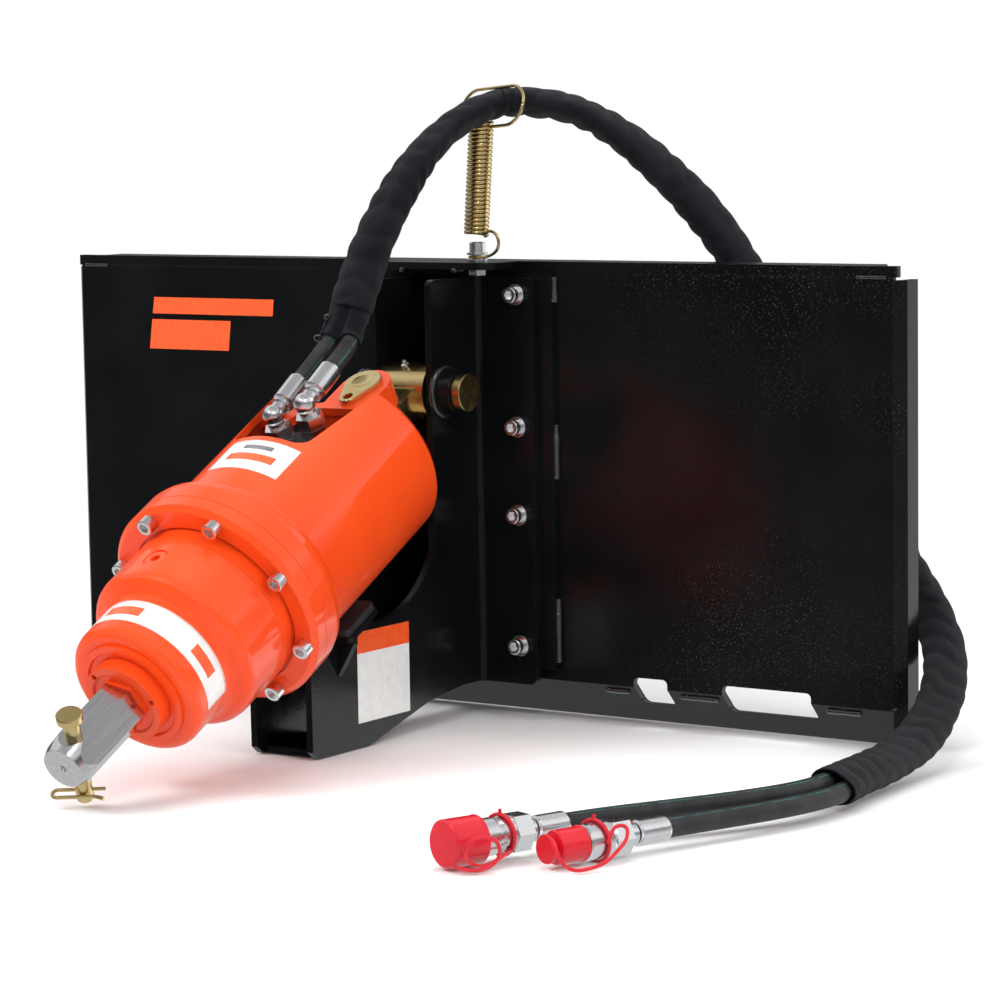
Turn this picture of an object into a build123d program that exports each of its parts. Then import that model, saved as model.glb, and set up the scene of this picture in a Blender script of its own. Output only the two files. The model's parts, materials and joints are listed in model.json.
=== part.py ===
from build123d import *

import os
from math import acos, cos, degrees, pi, radians, sin, sqrt, tan

# Earth-auger drive for a skid-steer loader: an orbital hydraulic motor and a planetary
# gearbox, hung by a two-pin knuckle on a quick-attach mount plate with a transport cradle,
# with its hose pair, fabric sleeve and quick couplers.
#
# Frame: millimetres, origin on the floor under the middle of the plate's front face,
# +X along the plate, +Y towards the loader, +Z up. The motor points along -Y and down.
# Motor frame: origin on the frame pin, local X = +X, local Y = up from the motor axis
# ("height"), local Z = along the motor axis towards the shaft tip ("station").

# ---- driving dimensions: mount plate and bracket -------------------------------------------
PLATE_WIDTH = 1149.0
PLATE_TOP = 510.0
OVERALL_HEIGHT = 522.0
SHEET = 8.0
RAIL_COPE = 34.0
EDGE_FOLD = 11.5
EDGE_DEPTH = 36.0
LIP_BEND = 45.0
LIP_DEPTH = 43.5
LIP_SLOTS = ((235.0, 279.0), (350.0, 462.0))
SLOT_BOTTOM = 24.0
SLOT_TOP = 56.0

WEB_INNER = 34.0
WEB_OUTER = 42.0
WEB_FRONT = -110.0
BRACKET_TOP = 505.0
BRACKET_FOOT = 40.0
FLANGE_EDGE = 117.0
FLANGE_FRONT = -18.0
BAR_EDGE = 136.0
BAR_FRONT = -8.0
BRACKET_BOLT_X = 95.0
BRACKET_BOLT_HEIGHTS = (84.5, 234.5, 335.0, 485.0)

TAB_HALF = 85.0
TAB_DEPTH = 55.0
SPRING_X = 45.0
SPRING_Y = -20.0
SPRING_FOOT = 552.0
SPRING_HEAD = 668.0
SPRING_RADIUS = 13.5
SPRING_WIRE = 1.9
SPRING_LEAN = 5.5
RING_LENGTH = 98.0
RING_WIDTH = 57.0
RING_GAP = 0.4
RING_PLANE = Plane(origin=(68, -16, 695.4), x_dir=(0.97, -0.22, 0.0), z_dir=(0.2, 0.9, -0.3))

# ---- driving dimensions: knuckle and motor --------------------------------------------------
PIN_Y = -85.3
PIN_Z = 378.6
TILT = 28.39
PIN_RADIUS = 19.0
FIT = 0.05
BUSH_RADIUS = 22.0
FLAG_STATION = 78.0
EAR_RADIUS = 31.0
EAR_LOW = 27.0
EAR_TOP = 57.0
EAR_PLATE = 10.0

HOOD_RADIUS = 108.0
HOOD_WALL = 8.0
HOOD_REAR = 129.0
FLANGE_RADIUS = 125.0
SEAM = 397.0
FLANGE_FACE = 418.5
GEAR_CASE_RADIUS = 97.0
CASE_SEAM = 434.0
NOSE_RADIUS = 77.0
NOSE_FRONT = 571.0
HUB_FRONT = 590.5
SHAFT_TIP = 697.5
FLANGE_BOLT_CIRCLE = 112.2
FLANGE_BOLT_COUNT = 8
HEX_FLATS = 50.8
SHAFT_TURN = -13.5
SHAFT_PIN_STATION = 673.0
SHAFT_PIN_RADIUS = 9.0

# ---- driving dimensions: gear set and orbital motor -----------------------------------------
MODULE = 2.25
SUN_TEETH = 18
PLANET_TEETH = 27
RING_TEETH = 72
PLANET_COUNT = 3
GEAR_START = 402.0
GEAR_END = 428.0
BACKLASH = 0.15

MOTOR_RADIUS = 61.0
ROLLER_COUNT = 7
ROLLER_CIRCLE = 38.0
ROLLER_RADIUS = 9.0
ECCENTRICITY = 3.5
ROTOR_START = 238.0
ROTOR_END = 264.0
TIE_BOLT_CIRCLE = 51.0
PORT_X = 24.5
PORT_STATION = 206.0
PORT_FACE = 66.0
ELBOW_HEIGHTS = (99.0, 116.4)

# ---- driving dimensions: hoses and couplers -------------------------------------------------
HOSE_RADIUS = 10.0
SLEEVE_HALF_WIDTH = 22.8
SLEEVE_HALF_HEIGHT = 15.0
SLEEVE_WALL = 1.3
SLEEVE_TURN = 25.0
FERRULE_RADIUS = 12.5
OUTLET_RISE = 8.5
COUPLER_AXIS = Vector(0.32, 0.947, 0.0).normalized()
FEMALE_ORIGIN = (472.7, -714.3, 24.0)
MALE_ORIGIN = (551.7, -664.4, 18.5)

BASE = (Align.CENTER, Align.CENTER, Align.MIN)
MOTOR = Plane(
    origin=(0, PIN_Y, PIN_Z),
    x_dir=(1, 0, 0),
    z_dir=(0, -cos(radians(TILT)), -sin(radians(TILT))),
).location
OUTPUT = MOTOR * Rot(0, 0, SHAFT_TURN)


# ---- helpers --------------------------------------------------------------------------------
def save(name, part):
    """Write one sub-part."""
    export_step(part, f"parts/{name}.step")


def rod(radius, start, end, x=0.0, y=0.0):
    """Round bar along local Z."""
    return Pos(x, y, start) * Cylinder(radius, end - start, align=BASE)


def tube(outer, inner, start, end):
    """Round tube along local Z."""
    return rod(outer, start, end) - rod(inner, start - 1, end + 1)


def bar_x(radius, start, end):
    """Round bar along X through the frame pin's centre, in the motor frame."""
    return Rot(0, 90, 0) * rod(radius, start, end)


def bar_h(radius, low, high, x=0.0, station=0.0):
    """Round bar along the motor frame's height axis."""
    return Pos(x, low, station) * Rot(-90, 0, 0) * Cylinder(radius, high - low, align=BASE)


def turned(*outline):
    """Body of revolution about local Z from (radius, station) points."""
    return revolve(make_face(Polyline(*[(r, 0, s) for r, s in outline], close=True)), Axis.Z)


def hexagon(flats, start, end):
    """Hexagonal bar along local Z, flats facing local Y."""
    face = RegularPolygon(flats / sqrt(3), 6)
    return Pos(0, 0, start) * extrude(face, end - start)


def slab(x_range, y_range, z_range):
    """Rectangular block between two corners."""
    (x0, x1), (y0, y1), (z0, z1) = x_range, y_range, z_range
    block = Box(x1 - x0, y1 - y0, z1 - z0)
    return Pos((x0 + x1) / 2, (y0 + y1) / 2, (z0 + z1) / 2) * block


def spread(part, radius, count, start_angle=0.0):
    """Copies on a circle about local Z."""
    return Part() + [place * part for place in PolarLocations(radius, count, start_angle)]


def both_sides(part):
    """A part and its mirror image across the middle plane."""
    return Part() + [part, mirror(part, about=Plane.YZ)]


def side_point(station, height):
    """(y, z) of a point given in the motor frame."""
    point = (MOTOR * Pos(0, height, station)).position
    return point.Y, point.Z


def global_point(x, height, station):
    """Global position of a point given in the motor frame."""
    return (MOTOR * Pos(x, height, station)).position


def cap_screw(length, radius=6.0):
    """Socket head cap screw along local Z, head seated on the local origin, shank below."""
    head = rod(1.5 * radius, 0, 2 * radius)
    head = chamfer(head.edges().group_by(Axis.Z)[-1], 0.8)
    socket = hexagon(1.6 * radius, radius, 2 * radius + 1)
    return head - socket + rod(radius, -length, 0)


# ---- mount plate ----------------------------------------------------------------------------
def make_mount_plate():
    """Face sheet with folded-back side edges and a sloping, slotted lower lip."""
    half = PLATE_WIDTH / 2
    inner = SHEET * tan(radians(22.5))
    right = [
        (half - EDGE_FOLD, 0),
        (half, EDGE_FOLD),
        (half, EDGE_DEPTH),
        (half - SHEET, EDGE_DEPTH),
        (half - SHEET, EDGE_FOLD + inner),
        (half - EDGE_FOLD - inner, SHEET),
    ]
    left = [(-x, y) for x, y in reversed(right)]
    section = make_face(Polyline(*right, *left, close=True))
    face = Pos(0, 0, LIP_BEND) * extrude(section, PLATE_TOP - 3 - LIP_BEND)
    face += slab((EDGE_FOLD - half, half - EDGE_FOLD), (0, SHEET), (LIP_BEND, PLATE_TOP))
    face += extrude(section, LIP_BEND) - slab(
        (EDGE_FOLD - half, half - EDGE_FOLD), (-1, SHEET + 1), (-1, LIP_BEND + 1))
    rise = SHEET / sqrt(2)
    lip = make_face(Polyline(
        (0, LIP_BEND), (LIP_DEPTH, 0), (LIP_DEPTH + rise, rise), (SHEET, LIP_BEND + 3.5),
        close=True))
    face += extrude(Plane.YZ * lip, amount=half - EDGE_FOLD, both=True)
    for start, end in LIP_SLOTS:
        slot = slab((start, end), (-5, LIP_DEPTH + 20), (SLOT_BOTTOM, SLOT_TOP))
        slot = fillet(slot.edges().filter_by(Axis.Y), 6)
        face -= both_sides(slot)
    return face - both_sides(screw_bores(6.6))


def make_top_rail():
    """Hooked rail along the plate's top, coped at its ends, that hangs on the loader."""
    half = PLATE_WIDTH / 2 - 7
    section = make_face(Polyline(
        (0, PLATE_TOP), (0, OVERALL_HEIGHT), (44, OVERALL_HEIGHT),
        (66, 500), (57, 491), (38, PLATE_TOP), close=True))
    rail = extrude(Plane.YZ * section, amount=half, both=True)
    rail -= both_sides(slab((half - RAIL_COPE, half + 1), (10, 80), (480, OVERALL_HEIGHT + 1)))
    return fillet(rail.edges().filter_by(Axis.Z).group_by(Axis.Y)[0], 3)


def make_backing_bars():
    """Flat bars welded behind the bracket flanges, with threaded holes for the screws."""
    bar = slab((50, BAR_EDGE), (BAR_FRONT, 0), (58, PLATE_TOP - 2))
    return both_sides(bar - screw_bores(6 + FIT))


def screw_bores(radius):
    """Holes of the right-hand bracket screws."""
    return Part() + [
        Pos(BRACKET_BOLT_X, 30, z) * Rot(90, 0, 0) * Cylinder(radius, 60, align=BASE)
        for z in BRACKET_BOLT_HEIGHTS
    ]


def make_side_plate():
    """Right-hand L-shaped bracket plate with its boot, pin boss and screw holes."""
    depth = FLANGE_FRONT - 8
    section = make_face(
        Line((WEB_INNER, WEB_FRONT), (WEB_OUTER, WEB_FRONT))
        + Line((WEB_OUTER, WEB_FRONT), (WEB_OUTER, depth))
        + RadiusArc((WEB_OUTER, depth), (WEB_OUTER + 8, FLANGE_FRONT), 8)
        + Line((WEB_OUTER + 8, FLANGE_FRONT), (FLANGE_EDGE, FLANGE_FRONT))
        + Line((FLANGE_EDGE, FLANGE_FRONT), (FLANGE_EDGE, BAR_FRONT))
        + Line((FLANGE_EDGE, BAR_FRONT), (WEB_INNER + 10, BAR_FRONT))
        + RadiusArc((WEB_INNER + 10, BAR_FRONT), (WEB_INNER, BAR_FRONT - 10), -10)
        + Line((WEB_INNER, BAR_FRONT - 10), (WEB_INNER, WEB_FRONT))
    )
    plate = Pos(0, 0, BRACKET_FOOT) * extrude(section, BRACKET_TOP - BRACKET_FOOT)
    corners = plate.edges().filter_by(Axis.Y).group_by(Axis.X)[-1]
    plate = fillet(corners, 10)
    nose = plate.edges().filter_by(Axis.X).group_by(Axis.Y)[0].sort_by(Axis.Z)[-1]
    plate = fillet(nose, 10)

    under_rear, under_front = side_point(272, -123.5), side_point(306, -123.5)
    curve_low = (-232, 137)
    boot = make_face(
        Polyline((-60, 205), (WEB_FRONT, 205))
        + ThreePointArc((WEB_FRONT, 205), (-150, 157), curve_low)
        + Polyline(curve_low, under_rear, under_front, (-344, 92), (-343, 8), (-333, 0),
                   (-240, 0), (-128, 31), (-60, BRACKET_FOOT), (-60, 205))
    )
    plate += extrude(Plane.YZ.offset(WEB_INNER) * boot, WEB_OUTER - WEB_INNER)
    pin_axis = Pos(0, PIN_Y, PIN_Z) * Rot(0, 90, 0)
    plate += pin_axis * rod(PIN_RADIUS + 6, WEB_OUTER, WEB_OUTER + 22)
    plate -= pin_axis * rod(PIN_RADIUS + FIT, 0, 100)
    return plate - screw_bores(6.6)


def make_bracket_screws():
    """Right and left rows of socket head screws through the flanges into the threaded bars."""
    seat = FLANGE_FRONT - 2.5
    screws = Part() + [
        Pos(BRACKET_BOLT_X, seat, z) * Rot(90, 0, 0) * cap_screw(25)
        for z in BRACKET_BOLT_HEIGHTS
    ]
    return both_sides(screws)


def make_bracket_washers():
    """Washers under the screw heads."""
    washers = []
    for z in BRACKET_BOLT_HEIGHTS:
        place = Pos(BRACKET_BOLT_X, FLANGE_FRONT, z) * Rot(90, 0, 0)
        washers.append(place * tube(12, 6.5, 0, 2.5))
    return both_sides(Part() + washers)


def make_top_tab():
    """Rounded plate on top of the bracket that carries the hose spring."""
    tab = slab((-TAB_HALF, TAB_HALF), (-TAB_DEPTH, 0), (OVERALL_HEIGHT - 8, OVERALL_HEIGHT))
    tab = fillet(tab.edges().filter_by(Axis.Z).group_by(Axis.Y)[0], 20)
    return tab - rod(6.6, 500, 540, SPRING_X, SPRING_Y)


def make_spring_bolt():
    """Cap screw with washers and nut that anchors the hose spring's hook."""
    top = OVERALL_HEIGHT
    place = Pos(SPRING_X, SPRING_Y, 0)
    screw = Pos(0, 0, top + 10) * cap_screw(26)
    washers = [tube(12, 6.5, top, top + 2.5), tube(12, 6.5, top + 7.5, top + 10)]
    nut = hexagon(19, top - 15.5, top - 8) - rod(6 + FIT, 0, top)
    return place * (Part() + [screw, *washers, nut])


def make_hose_spring():
    """Space of the coil spring, its foot hook and the large ring round the hose sleeve."""
    coil = tube(SPRING_RADIUS, SPRING_RADIUS - 4, 0, SPRING_HEAD - SPRING_FOOT)
    hook = Pos(SPRING_RADIUS, 0, -9.4) * Rot(0, 90, 0) * Torus(6.8, SPRING_WIRE)
    spring = Pos(SPRING_X, SPRING_Y, SPRING_FOOT) * Rot(0, SPRING_LEAN, 0) * (Part() + [coil, hook])
    bow, straight = RING_WIDTH / 2 - SPRING_WIRE, (RING_LENGTH - RING_WIDTH) / 2
    path = Line((RING_GAP, bow), (straight, bow))
    path += CenterArc((straight, 0), bow, 90, -180)
    path += Line((straight, -bow), (-straight, -bow))
    path += CenterArc((-straight, 0), bow, 270, -180)
    path += Line((-straight, bow), (-RING_GAP, bow))
    wire = Plane(origin=(RING_GAP, bow, 0), z_dir=(1, 0, 0)) * Circle(SPRING_WIRE)
    ring = RING_PLANE.location * sweep(wire, path)
    return Part() + [spring, ring]


def make_frame_pin():
    """Headed pin that carries the knuckle between the side plates."""
    pin = rod(PIN_RADIUS, -70, 65)
    pin -= tube(PIN_RADIUS + 1, 17.6, -67.4, -64.2)
    head = rod(21.25, 65, 76)
    head = chamfer(head.edges().group_by(Axis.Z)[-1], 1.0)
    tail = chamfer((pin + head).edges().group_by(Axis.Z)[0], 1.5)
    return Pos(0, PIN_Y, PIN_Z) * Rot(0, 90, 0) * tail


def make_frame_pin_ring():
    """Open retaining ring in the pin's groove."""
    ring = tube(24, 17.65, -67.3, -64.3) - slab((-4, 4), (0, 30), (-70, -60))
    return Pos(0, PIN_Y, PIN_Z) * Rot(0, 90, 0) * ring


# ---- transport cradle -----------------------------------------------------------------------
PAD_TOP = -(HOOD_RADIUS + 0.4)
PAD_LOW = -117.2
SADDLE_LOW = -123.5


def make_cradle_plates():
    """Saddle plate under the pad, its two side ribs and the boot's floor plate."""
    saddle = slab((-64, 64), (SADDLE_LOW, PAD_LOW), (250, 310))
    saddle = MOTOR * fillet(saddle.edges().filter_by(Axis.Y), 5)
    rib_face = make_face(Polyline(
        (WEB_OUTER, 84), (64, 121), (64, 150), (WEB_OUTER, 150), close=True))
    rib = Pos(0, -288, 0) * extrude(Plane.XZ * rib_face, 8)
    above = MOTOR * slab((-100, 100), (SADDLE_LOW, 0), (200, 400))
    ribs = both_sides(rib - above)
    floor = slab((-WEB_INNER, WEB_INNER), (-330, -240), (0, 8))
    return Part() + [saddle, ribs, floor]


def make_saddle_pad():
    """Rubber pad that the motor hood rests on."""
    pad = slab((-62, 62), (PAD_LOW, PAD_TOP), (252, 308))
    return MOTOR * fillet(pad.edges().filter_by(Axis.Y), 4)


# ---- knuckle --------------------------------------------------------------------------------
def make_knuckle():
    """Cast block with a level barrel for the frame pin and a crossed barrel for the flag pin."""
    block = bar_x(32, -33, 33) + bar_h(30, -26, 26, station=FLAG_STATION)
    block += slab((-23, 23), (-20, 20), (0, FLAG_STATION))
    block -= bar_x(BUSH_RADIUS, -40, 40)
    block -= bar_h(BUSH_RADIUS, -40, 40, station=FLAG_STATION)
    block -= bar_h(2.5, 20, 40)
    block -= Pos(0, 0, FLAG_STATION) * bar_x(2.5, 20, 40)
    return MOTOR * block


def make_knuckle_bushings():
    """Greased bushes pressed into both barrels."""
    level = bar_x(BUSH_RADIUS - 0.02, -33, 33) - bar_x(PIN_RADIUS + FIT, -40, 40)
    crossed = bar_h(BUSH_RADIUS - 0.02, -26, 26) - bar_h(PIN_RADIUS + FIT, -40, 40)
    return MOTOR * (Part() + [level, Pos(0, 0, FLAG_STATION) * crossed])


def make_grease_fittings():
    """A grease nipple on each barrel."""
    nipple = turned((0, -8), (2.4, -8), (2.4, 0.2), (5, 0.2), (5, 4), (2.2, 5.5), (3, 7.5), (2, 9), (0, 9))
    upper = Pos(0, 32, 0) * Rot(-90, 0, 0) * nipple
    side = Pos(30, 0, FLAG_STATION) * Rot(0, 90, 0) * nipple
    return MOTOR * (Part() + [upper, side])


# ---- motor hood -----------------------------------------------------------------------------
def make_hood():
    """Bell-shaped hood: flanged tube, open window for the ports and two clevis ears."""
    wall = HOOD_RADIUS - HOOD_WALL
    hood = turned(
        (wall, HOOD_REAR), (HOOD_RADIUS - 5, HOOD_REAR), (HOOD_RADIUS, HOOD_REAR + 7),
        (HOOD_RADIUS, 350), (109.5, 355), (113.5, 359.5), (119, 363.5), (123.3, 368.5),
        (FLANGE_RADIUS, 376), (FLANGE_RADIUS, SEAM - 0.6), (FLANGE_RADIUS - 0.6, SEAM),
        (62, SEAM), (62, 381), (wall, 381))
    window = make_face(Polyline(
        (-67, HOOD_REAR - 5), (67, HOOD_REAR - 5), (48, 258), (-48, 258), close=True))
    window = extrude(Plane.XZ * window, -(HOOD_RADIUS + 20))
    window = fillet(window.edges().filter_by(Axis.Y).group_by(Axis.Z)[-1], 18)
    hood -= window
    hood += make_ear() + mirror(make_ear(), about=Plane.XZ)
    hood -= bar_h(PIN_RADIUS + FIT, -80, 80, station=FLAG_STATION)
    hood -= bar_h(5.2, 40, 80, station=FLAG_STATION + 31)
    hood -= spread(rod(6 + FIT, 360, 400), FLANGE_BOLT_CIRCLE, FLANGE_BOLT_COUNT, 22.5)
    return MOTOR * hood


def make_ear():
    """Upper clevis ear: a cross plate welded into the tube and a thick rounded lug."""
    reach = 84.0
    wing = make_face(Polyline(
        (-EAR_RADIUS, FLAG_STATION), (EAR_RADIUS, FLAG_STATION), (EAR_RADIUS, 115),
        (reach, HOOD_REAR), (reach, 168), (62, 168), (46, 126), (-46, 126), (-62, 168),
        (-reach, 168), (-reach, HOOD_REAR), (-EAR_RADIUS, 115), close=True))
    plate = Pos(0, EAR_TOP, 0) * extrude(Plane.XZ * wing, EAR_PLATE)
    lug = bar_h(EAR_RADIUS, EAR_LOW, EAR_TOP, station=FLAG_STATION)
    lug += slab((-EAR_RADIUS, EAR_RADIUS), (EAR_LOW, EAR_TOP), (FLAG_STATION, 124))
    return plate + lug


def make_flag_pin():
    """Pin through ears and knuckle with a teardrop head plate that keeps it from turning."""
    leaf = make_hull(
        Circle(22).edges() + (Pos(0, 31) * Circle(11)).edges())
    leaf = extrude(leaf, 6) - Pos(0, 31, 0) * Cylinder(5.3, 20)
    leaf = chamfer(leaf.edges().group_by(Axis.Z)[-1], 0.8)
    leaf = Pos(0, EAR_TOP, FLAG_STATION) * Rot(-90, 0, 0) * mirror(leaf, about=Plane.XZ)
    dish = Pos(0, EAR_TOP + 6 + 26, FLAG_STATION) * Sphere(29)
    shank = bar_h(PIN_RADIUS, -60, EAR_TOP, station=FLAG_STATION)
    return MOTOR * (leaf - dish + shank)


# ---- gearbox case ---------------------------------------------------------------------------
def make_ring_gear():
    """Bolting flange and case ring with the internal gear teeth."""
    case = turned(
        (75, SEAM + 0.05), (FLANGE_RADIUS - 0.6, SEAM + 0.05), (FLANGE_RADIUS, SEAM + 0.6),
        (FLANGE_RADIUS, FLANGE_FACE - 6), (FLANGE_RADIUS - 6, FLANGE_FACE),
        (99.5, FLANGE_FACE), (99.5, FLANGE_FACE - 4), (GEAR_CASE_RADIUS, FLANGE_FACE - 4),
        (GEAR_CASE_RADIUS, CASE_SEAM - 0.6), (GEAR_CASE_RADIUS - 0.6, CASE_SEAM),
        (75, CASE_SEAM))
    pitch = MODULE * RING_TEETH / 2
    space = gear_face(RING_TEETH, pitch - 0.8 * MODULE, pitch + 1.05 * MODULE, -BACKLASH)
    case -= Pos(0, 0, SEAM - 1) * Rot(0, 0, 180 / RING_TEETH) * extrude(space, CASE_SEAM - SEAM + 2)
    case -= spread(rod(6.6, 390, 420), FLANGE_BOLT_CIRCLE, FLANGE_BOLT_COUNT, 22.5)
    return MOTOR * case


def make_nose_housing():
    """Front case: cylinder, rounded waist and nose that hold the output bearings."""
    case = turned(
        (86, CASE_SEAM + 0.05), (GEAR_CASE_RADIUS - 0.6, CASE_SEAM + 0.05),
        (GEAR_CASE_RADIUS, CASE_SEAM + 0.6), (GEAR_CASE_RADIUS, 491), (96.2, 496),
        (93.6, 500.3), (89.6, 503.6), (84.5, 506), (80.3, 509), (77.9, 512.5), (NOSE_RADIUS, 517),
        (NOSE_RADIUS, 560), (76, 564.5), (73.2, 568.4), (69, 570.6), (64, NOSE_FRONT),
        (60.5, NOSE_FRONT), (60.5, 556), (58, 556), (58, 549), (60, 549), (60, 522), (54, 522),
        (54, 474), (60, 474), (60, 450), (86, 450))
    plug_place = Rot(0, 0, 2.4)
    case -= plug_place * bar_h(13 + FIT, 80, 110, station=468)
    return MOTOR * case


def make_fill_plug():
    """Oil plug with a hexagon socket, flush in the case."""
    plug = bar_h(13, 84, GEAR_CASE_RADIUS - 1.2, station=468)
    plug = chamfer(plug.edges().group_by(Axis.Y)[-1], 1.0)
    socket = Pos(0, 90, 468) * Rot(-90, 0, 0) * hexagon(10, 0, 12)
    return MOTOR * Rot(0, 0, 2.4) * (plug - socket)


def make_flange_screws():
    """Screws that clamp the gearbox to the hood's flange."""
    screw = Pos(0, 0, FLANGE_FACE) * cap_screw(38)
    return MOTOR * spread(screw, FLANGE_BOLT_CIRCLE, FLANGE_BOLT_COUNT, 22.5)


# ---- gears ----------------------------------------------------------------------------------
def involute(angle):
    """Involute function of a pressure angle."""
    return tan(angle) - angle


def gear_face(teeth, root, tip, backlash):
    """Face of a spur gear with 20 degree involute flanks; negative backlash widens teeth."""
    pitch = MODULE * teeth / 2
    base = pitch * cos(radians(20))
    half_at_pitch = pi / (2 * teeth) - backlash / (2 * pitch) + involute(radians(20))
    foot = max(base, root)
    radii = [foot + (tip - foot) * step / 4 for step in range(5)]
    flank = [(root, half_at_pitch - involute(acos(base / foot)))]
    flank += [(r, half_at_pitch - involute(acos(base / r))) for r in radii if r > root]
    points = []
    for tooth in range(teeth):
        middle = 2 * pi * tooth / teeth
        points += [(r * cos(middle - half), r * sin(middle - half)) for r, half in flank]
        points += [(r * cos(middle + half), r * sin(middle + half)) for r, half in reversed(flank)]
    return make_face(Polyline(*points, close=True))


def spur_gear(teeth, start, end):
    """External spur gear with a stub tooth, first tooth centred on local X."""
    pitch = MODULE * teeth / 2
    face = gear_face(teeth, pitch - 1.05 * MODULE, pitch + 0.8 * MODULE, BACKLASH)
    return Pos(0, 0, start) * extrude(face, end - start)


CENTRE_DISTANCE = MODULE * (SUN_TEETH + PLANET_TEETH) / 2


def make_planet(index):
    """Planet gear in mesh with the ring gear, on its carrier pin."""
    place = 360.0 * index / PLANET_COUNT
    turn = place - (180 + RING_TEETH * place) / PLANET_TEETH
    gear = spur_gear(PLANET_TEETH, GEAR_START, GEAR_END)
    gear -= rod(9 + FIT, 390, 440)
    gear -= spread(rod(3, 390, 440), 18, 6)
    at = Pos(CENTRE_DISTANCE * cos(radians(place)), CENTRE_DISTANCE * sin(radians(place)), 0)
    return MOTOR * at * Rot(0, 0, turn) * gear


def make_motor_shaft():
    """Motor output shaft with the sun gear cut on its end and a cup for the drive link."""
    shaft = turned((0, 352), (26, 352), (26, 356), (17, 360), (17, 400), (15, 402), (15, 430), (0, 430))
    shaft += tube(26, 15, 318, 352.5)
    sun = spur_gear(SUN_TEETH, GEAR_START, GEAR_END)
    return MOTOR * (shaft + Rot(0, 0, 180 / SUN_TEETH) * sun)


def make_planet_carrier():
    """Carrier disc keyed to the output shaft."""
    disc = tube(72, 32 + FIT, 433, 447)
    disc -= spread(rod(9 + FIT, 430, 450), CENTRE_DISTANCE, PLANET_COUNT)
    disc -= Rot(0, 0, SHAFT_TURN) * slab((-5, 5), (30, 37), (430, 450))
    return MOTOR * disc


def make_planet_pins():
    """Headed pins that carry the planet gears."""
    pin = rod(9, 400, 447) + rod(11, 397.6, 401)
    return MOTOR * spread(pin, CENTRE_DISTANCE, PLANET_COUNT)


# ---- output shaft ---------------------------------------------------------------------------
def make_output_shaft():
    """Output shaft: keyed tail, bearing journals and the hexagonal nose for the auger."""
    shaft = turned(
        (0, 431), (32, 431), (32, 449), (38, 449.5), (38, 476), (42, 476), (42, 520),
        (38, 520), (38, 548), (35, 548), (35, 588), (28, 588), (28, 589), (0, 589))
    shaft += slab((-4.9, 4.9), (29, 36.5), (433, 447))
    hex_end = hexagon(HEX_FLATS, 585, SHAFT_TIP)
    tip = turned(
        (0, 580), (32, 580), (32, 667), (29.4, 677), (26.6, 687), (22.8, SHAFT_TIP), (0, SHAFT_TIP))
    shaft += hex_end & tip
    shaft -= bar_h(SHAFT_PIN_RADIUS + FIT, -40, 40, station=SHAFT_PIN_STATION)
    shaft -= turned((0, SHAFT_TIP - 7), (4, SHAFT_TIP), (4, SHAFT_TIP + 2), (0, SHAFT_TIP + 2))
    return OUTPUT * shaft


def make_spanner_nut():
    """Round nut with pin-spanner holes that preloads the bearings; its rim carries the seal."""
    nut = tube(45, 35 + FIT, 549, HUB_FRONT)
    nut -= tube(36, 30, 588.5, 600)
    nut = chamfer(nut.edges().filter_by(GeomType.CIRCLE).group_by(Axis.Z)[-1][-1], 1.2)
    nut -= spread(rod(3.2, 580, 600), 39.8, 3, 8 - SHAFT_TURN)
    return OUTPUT * nut


def make_bearing_cups():
    """Outer races of the two output bearings."""
    return MOTOR * (Part() + [
        tube(60 - FIT, 52, 450.1, 473.9), tube(60 - FIT, 52, 522.1, 546)])


def make_bearing_cones():
    """Inner races with their roller sets."""
    return OUTPUT * (Part() + [
        tube(51.9, 38 + FIT, 450.1, 475.9), tube(51.9, 38 + FIT, 520.1, 546)])


def make_oil_seal():
    """Shaft seal in the nose, its case set back behind a raised outer rim."""
    seal = turned(
        (45 + FIT, 557), (60.5 - FIT, 557), (60.5 - FIT, 575), (53, 575), (51.5, 572), (45 + FIT, 572))
    return MOTOR * seal


# ---- orbital motor --------------------------------------------------------------------------
def make_motor_front_housing():
    """Front housing: bearing bore, mounting flange and pilot."""
    housing = turned(
        (28, ROTOR_END), (MOTOR_RADIUS, ROTOR_END), (MOTOR_RADIUS, 366), (84, 366), (84, 380.9),
        (61.9, 380.9), (61.9, 393), (17 + FIT, 393), (17 + FIT, 362), (28, 358))
    housing -= spread(rod(5 + FIT, 250, 340), TIE_BOLT_CIRCLE, ROLLER_COUNT, 180 / ROLLER_COUNT)
    return MOTOR * housing


def make_gerotor_ring():
    """Stator ring with pockets for the rollers."""
    ring = tube(MOTOR_RADIUS, ROLLER_CIRCLE - 1.2, ROTOR_START, ROTOR_END)
    ring -= spread(rod(ROLLER_RADIUS + FIT, 230, 270), ROLLER_CIRCLE, ROLLER_COUNT)
    ring -= spread(rod(5 + FIT, 230, 270), TIE_BOLT_CIRCLE, ROLLER_COUNT, 180 / ROLLER_COUNT)
    return MOTOR * ring


def make_gerotor_rollers():
    """Rollers that seal between stator and rotor."""
    roller = rod(ROLLER_RADIUS, ROTOR_START + 0.1, ROTOR_END - 0.1)
    return MOTOR * spread(roller, ROLLER_CIRCLE, ROLLER_COUNT)


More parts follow.
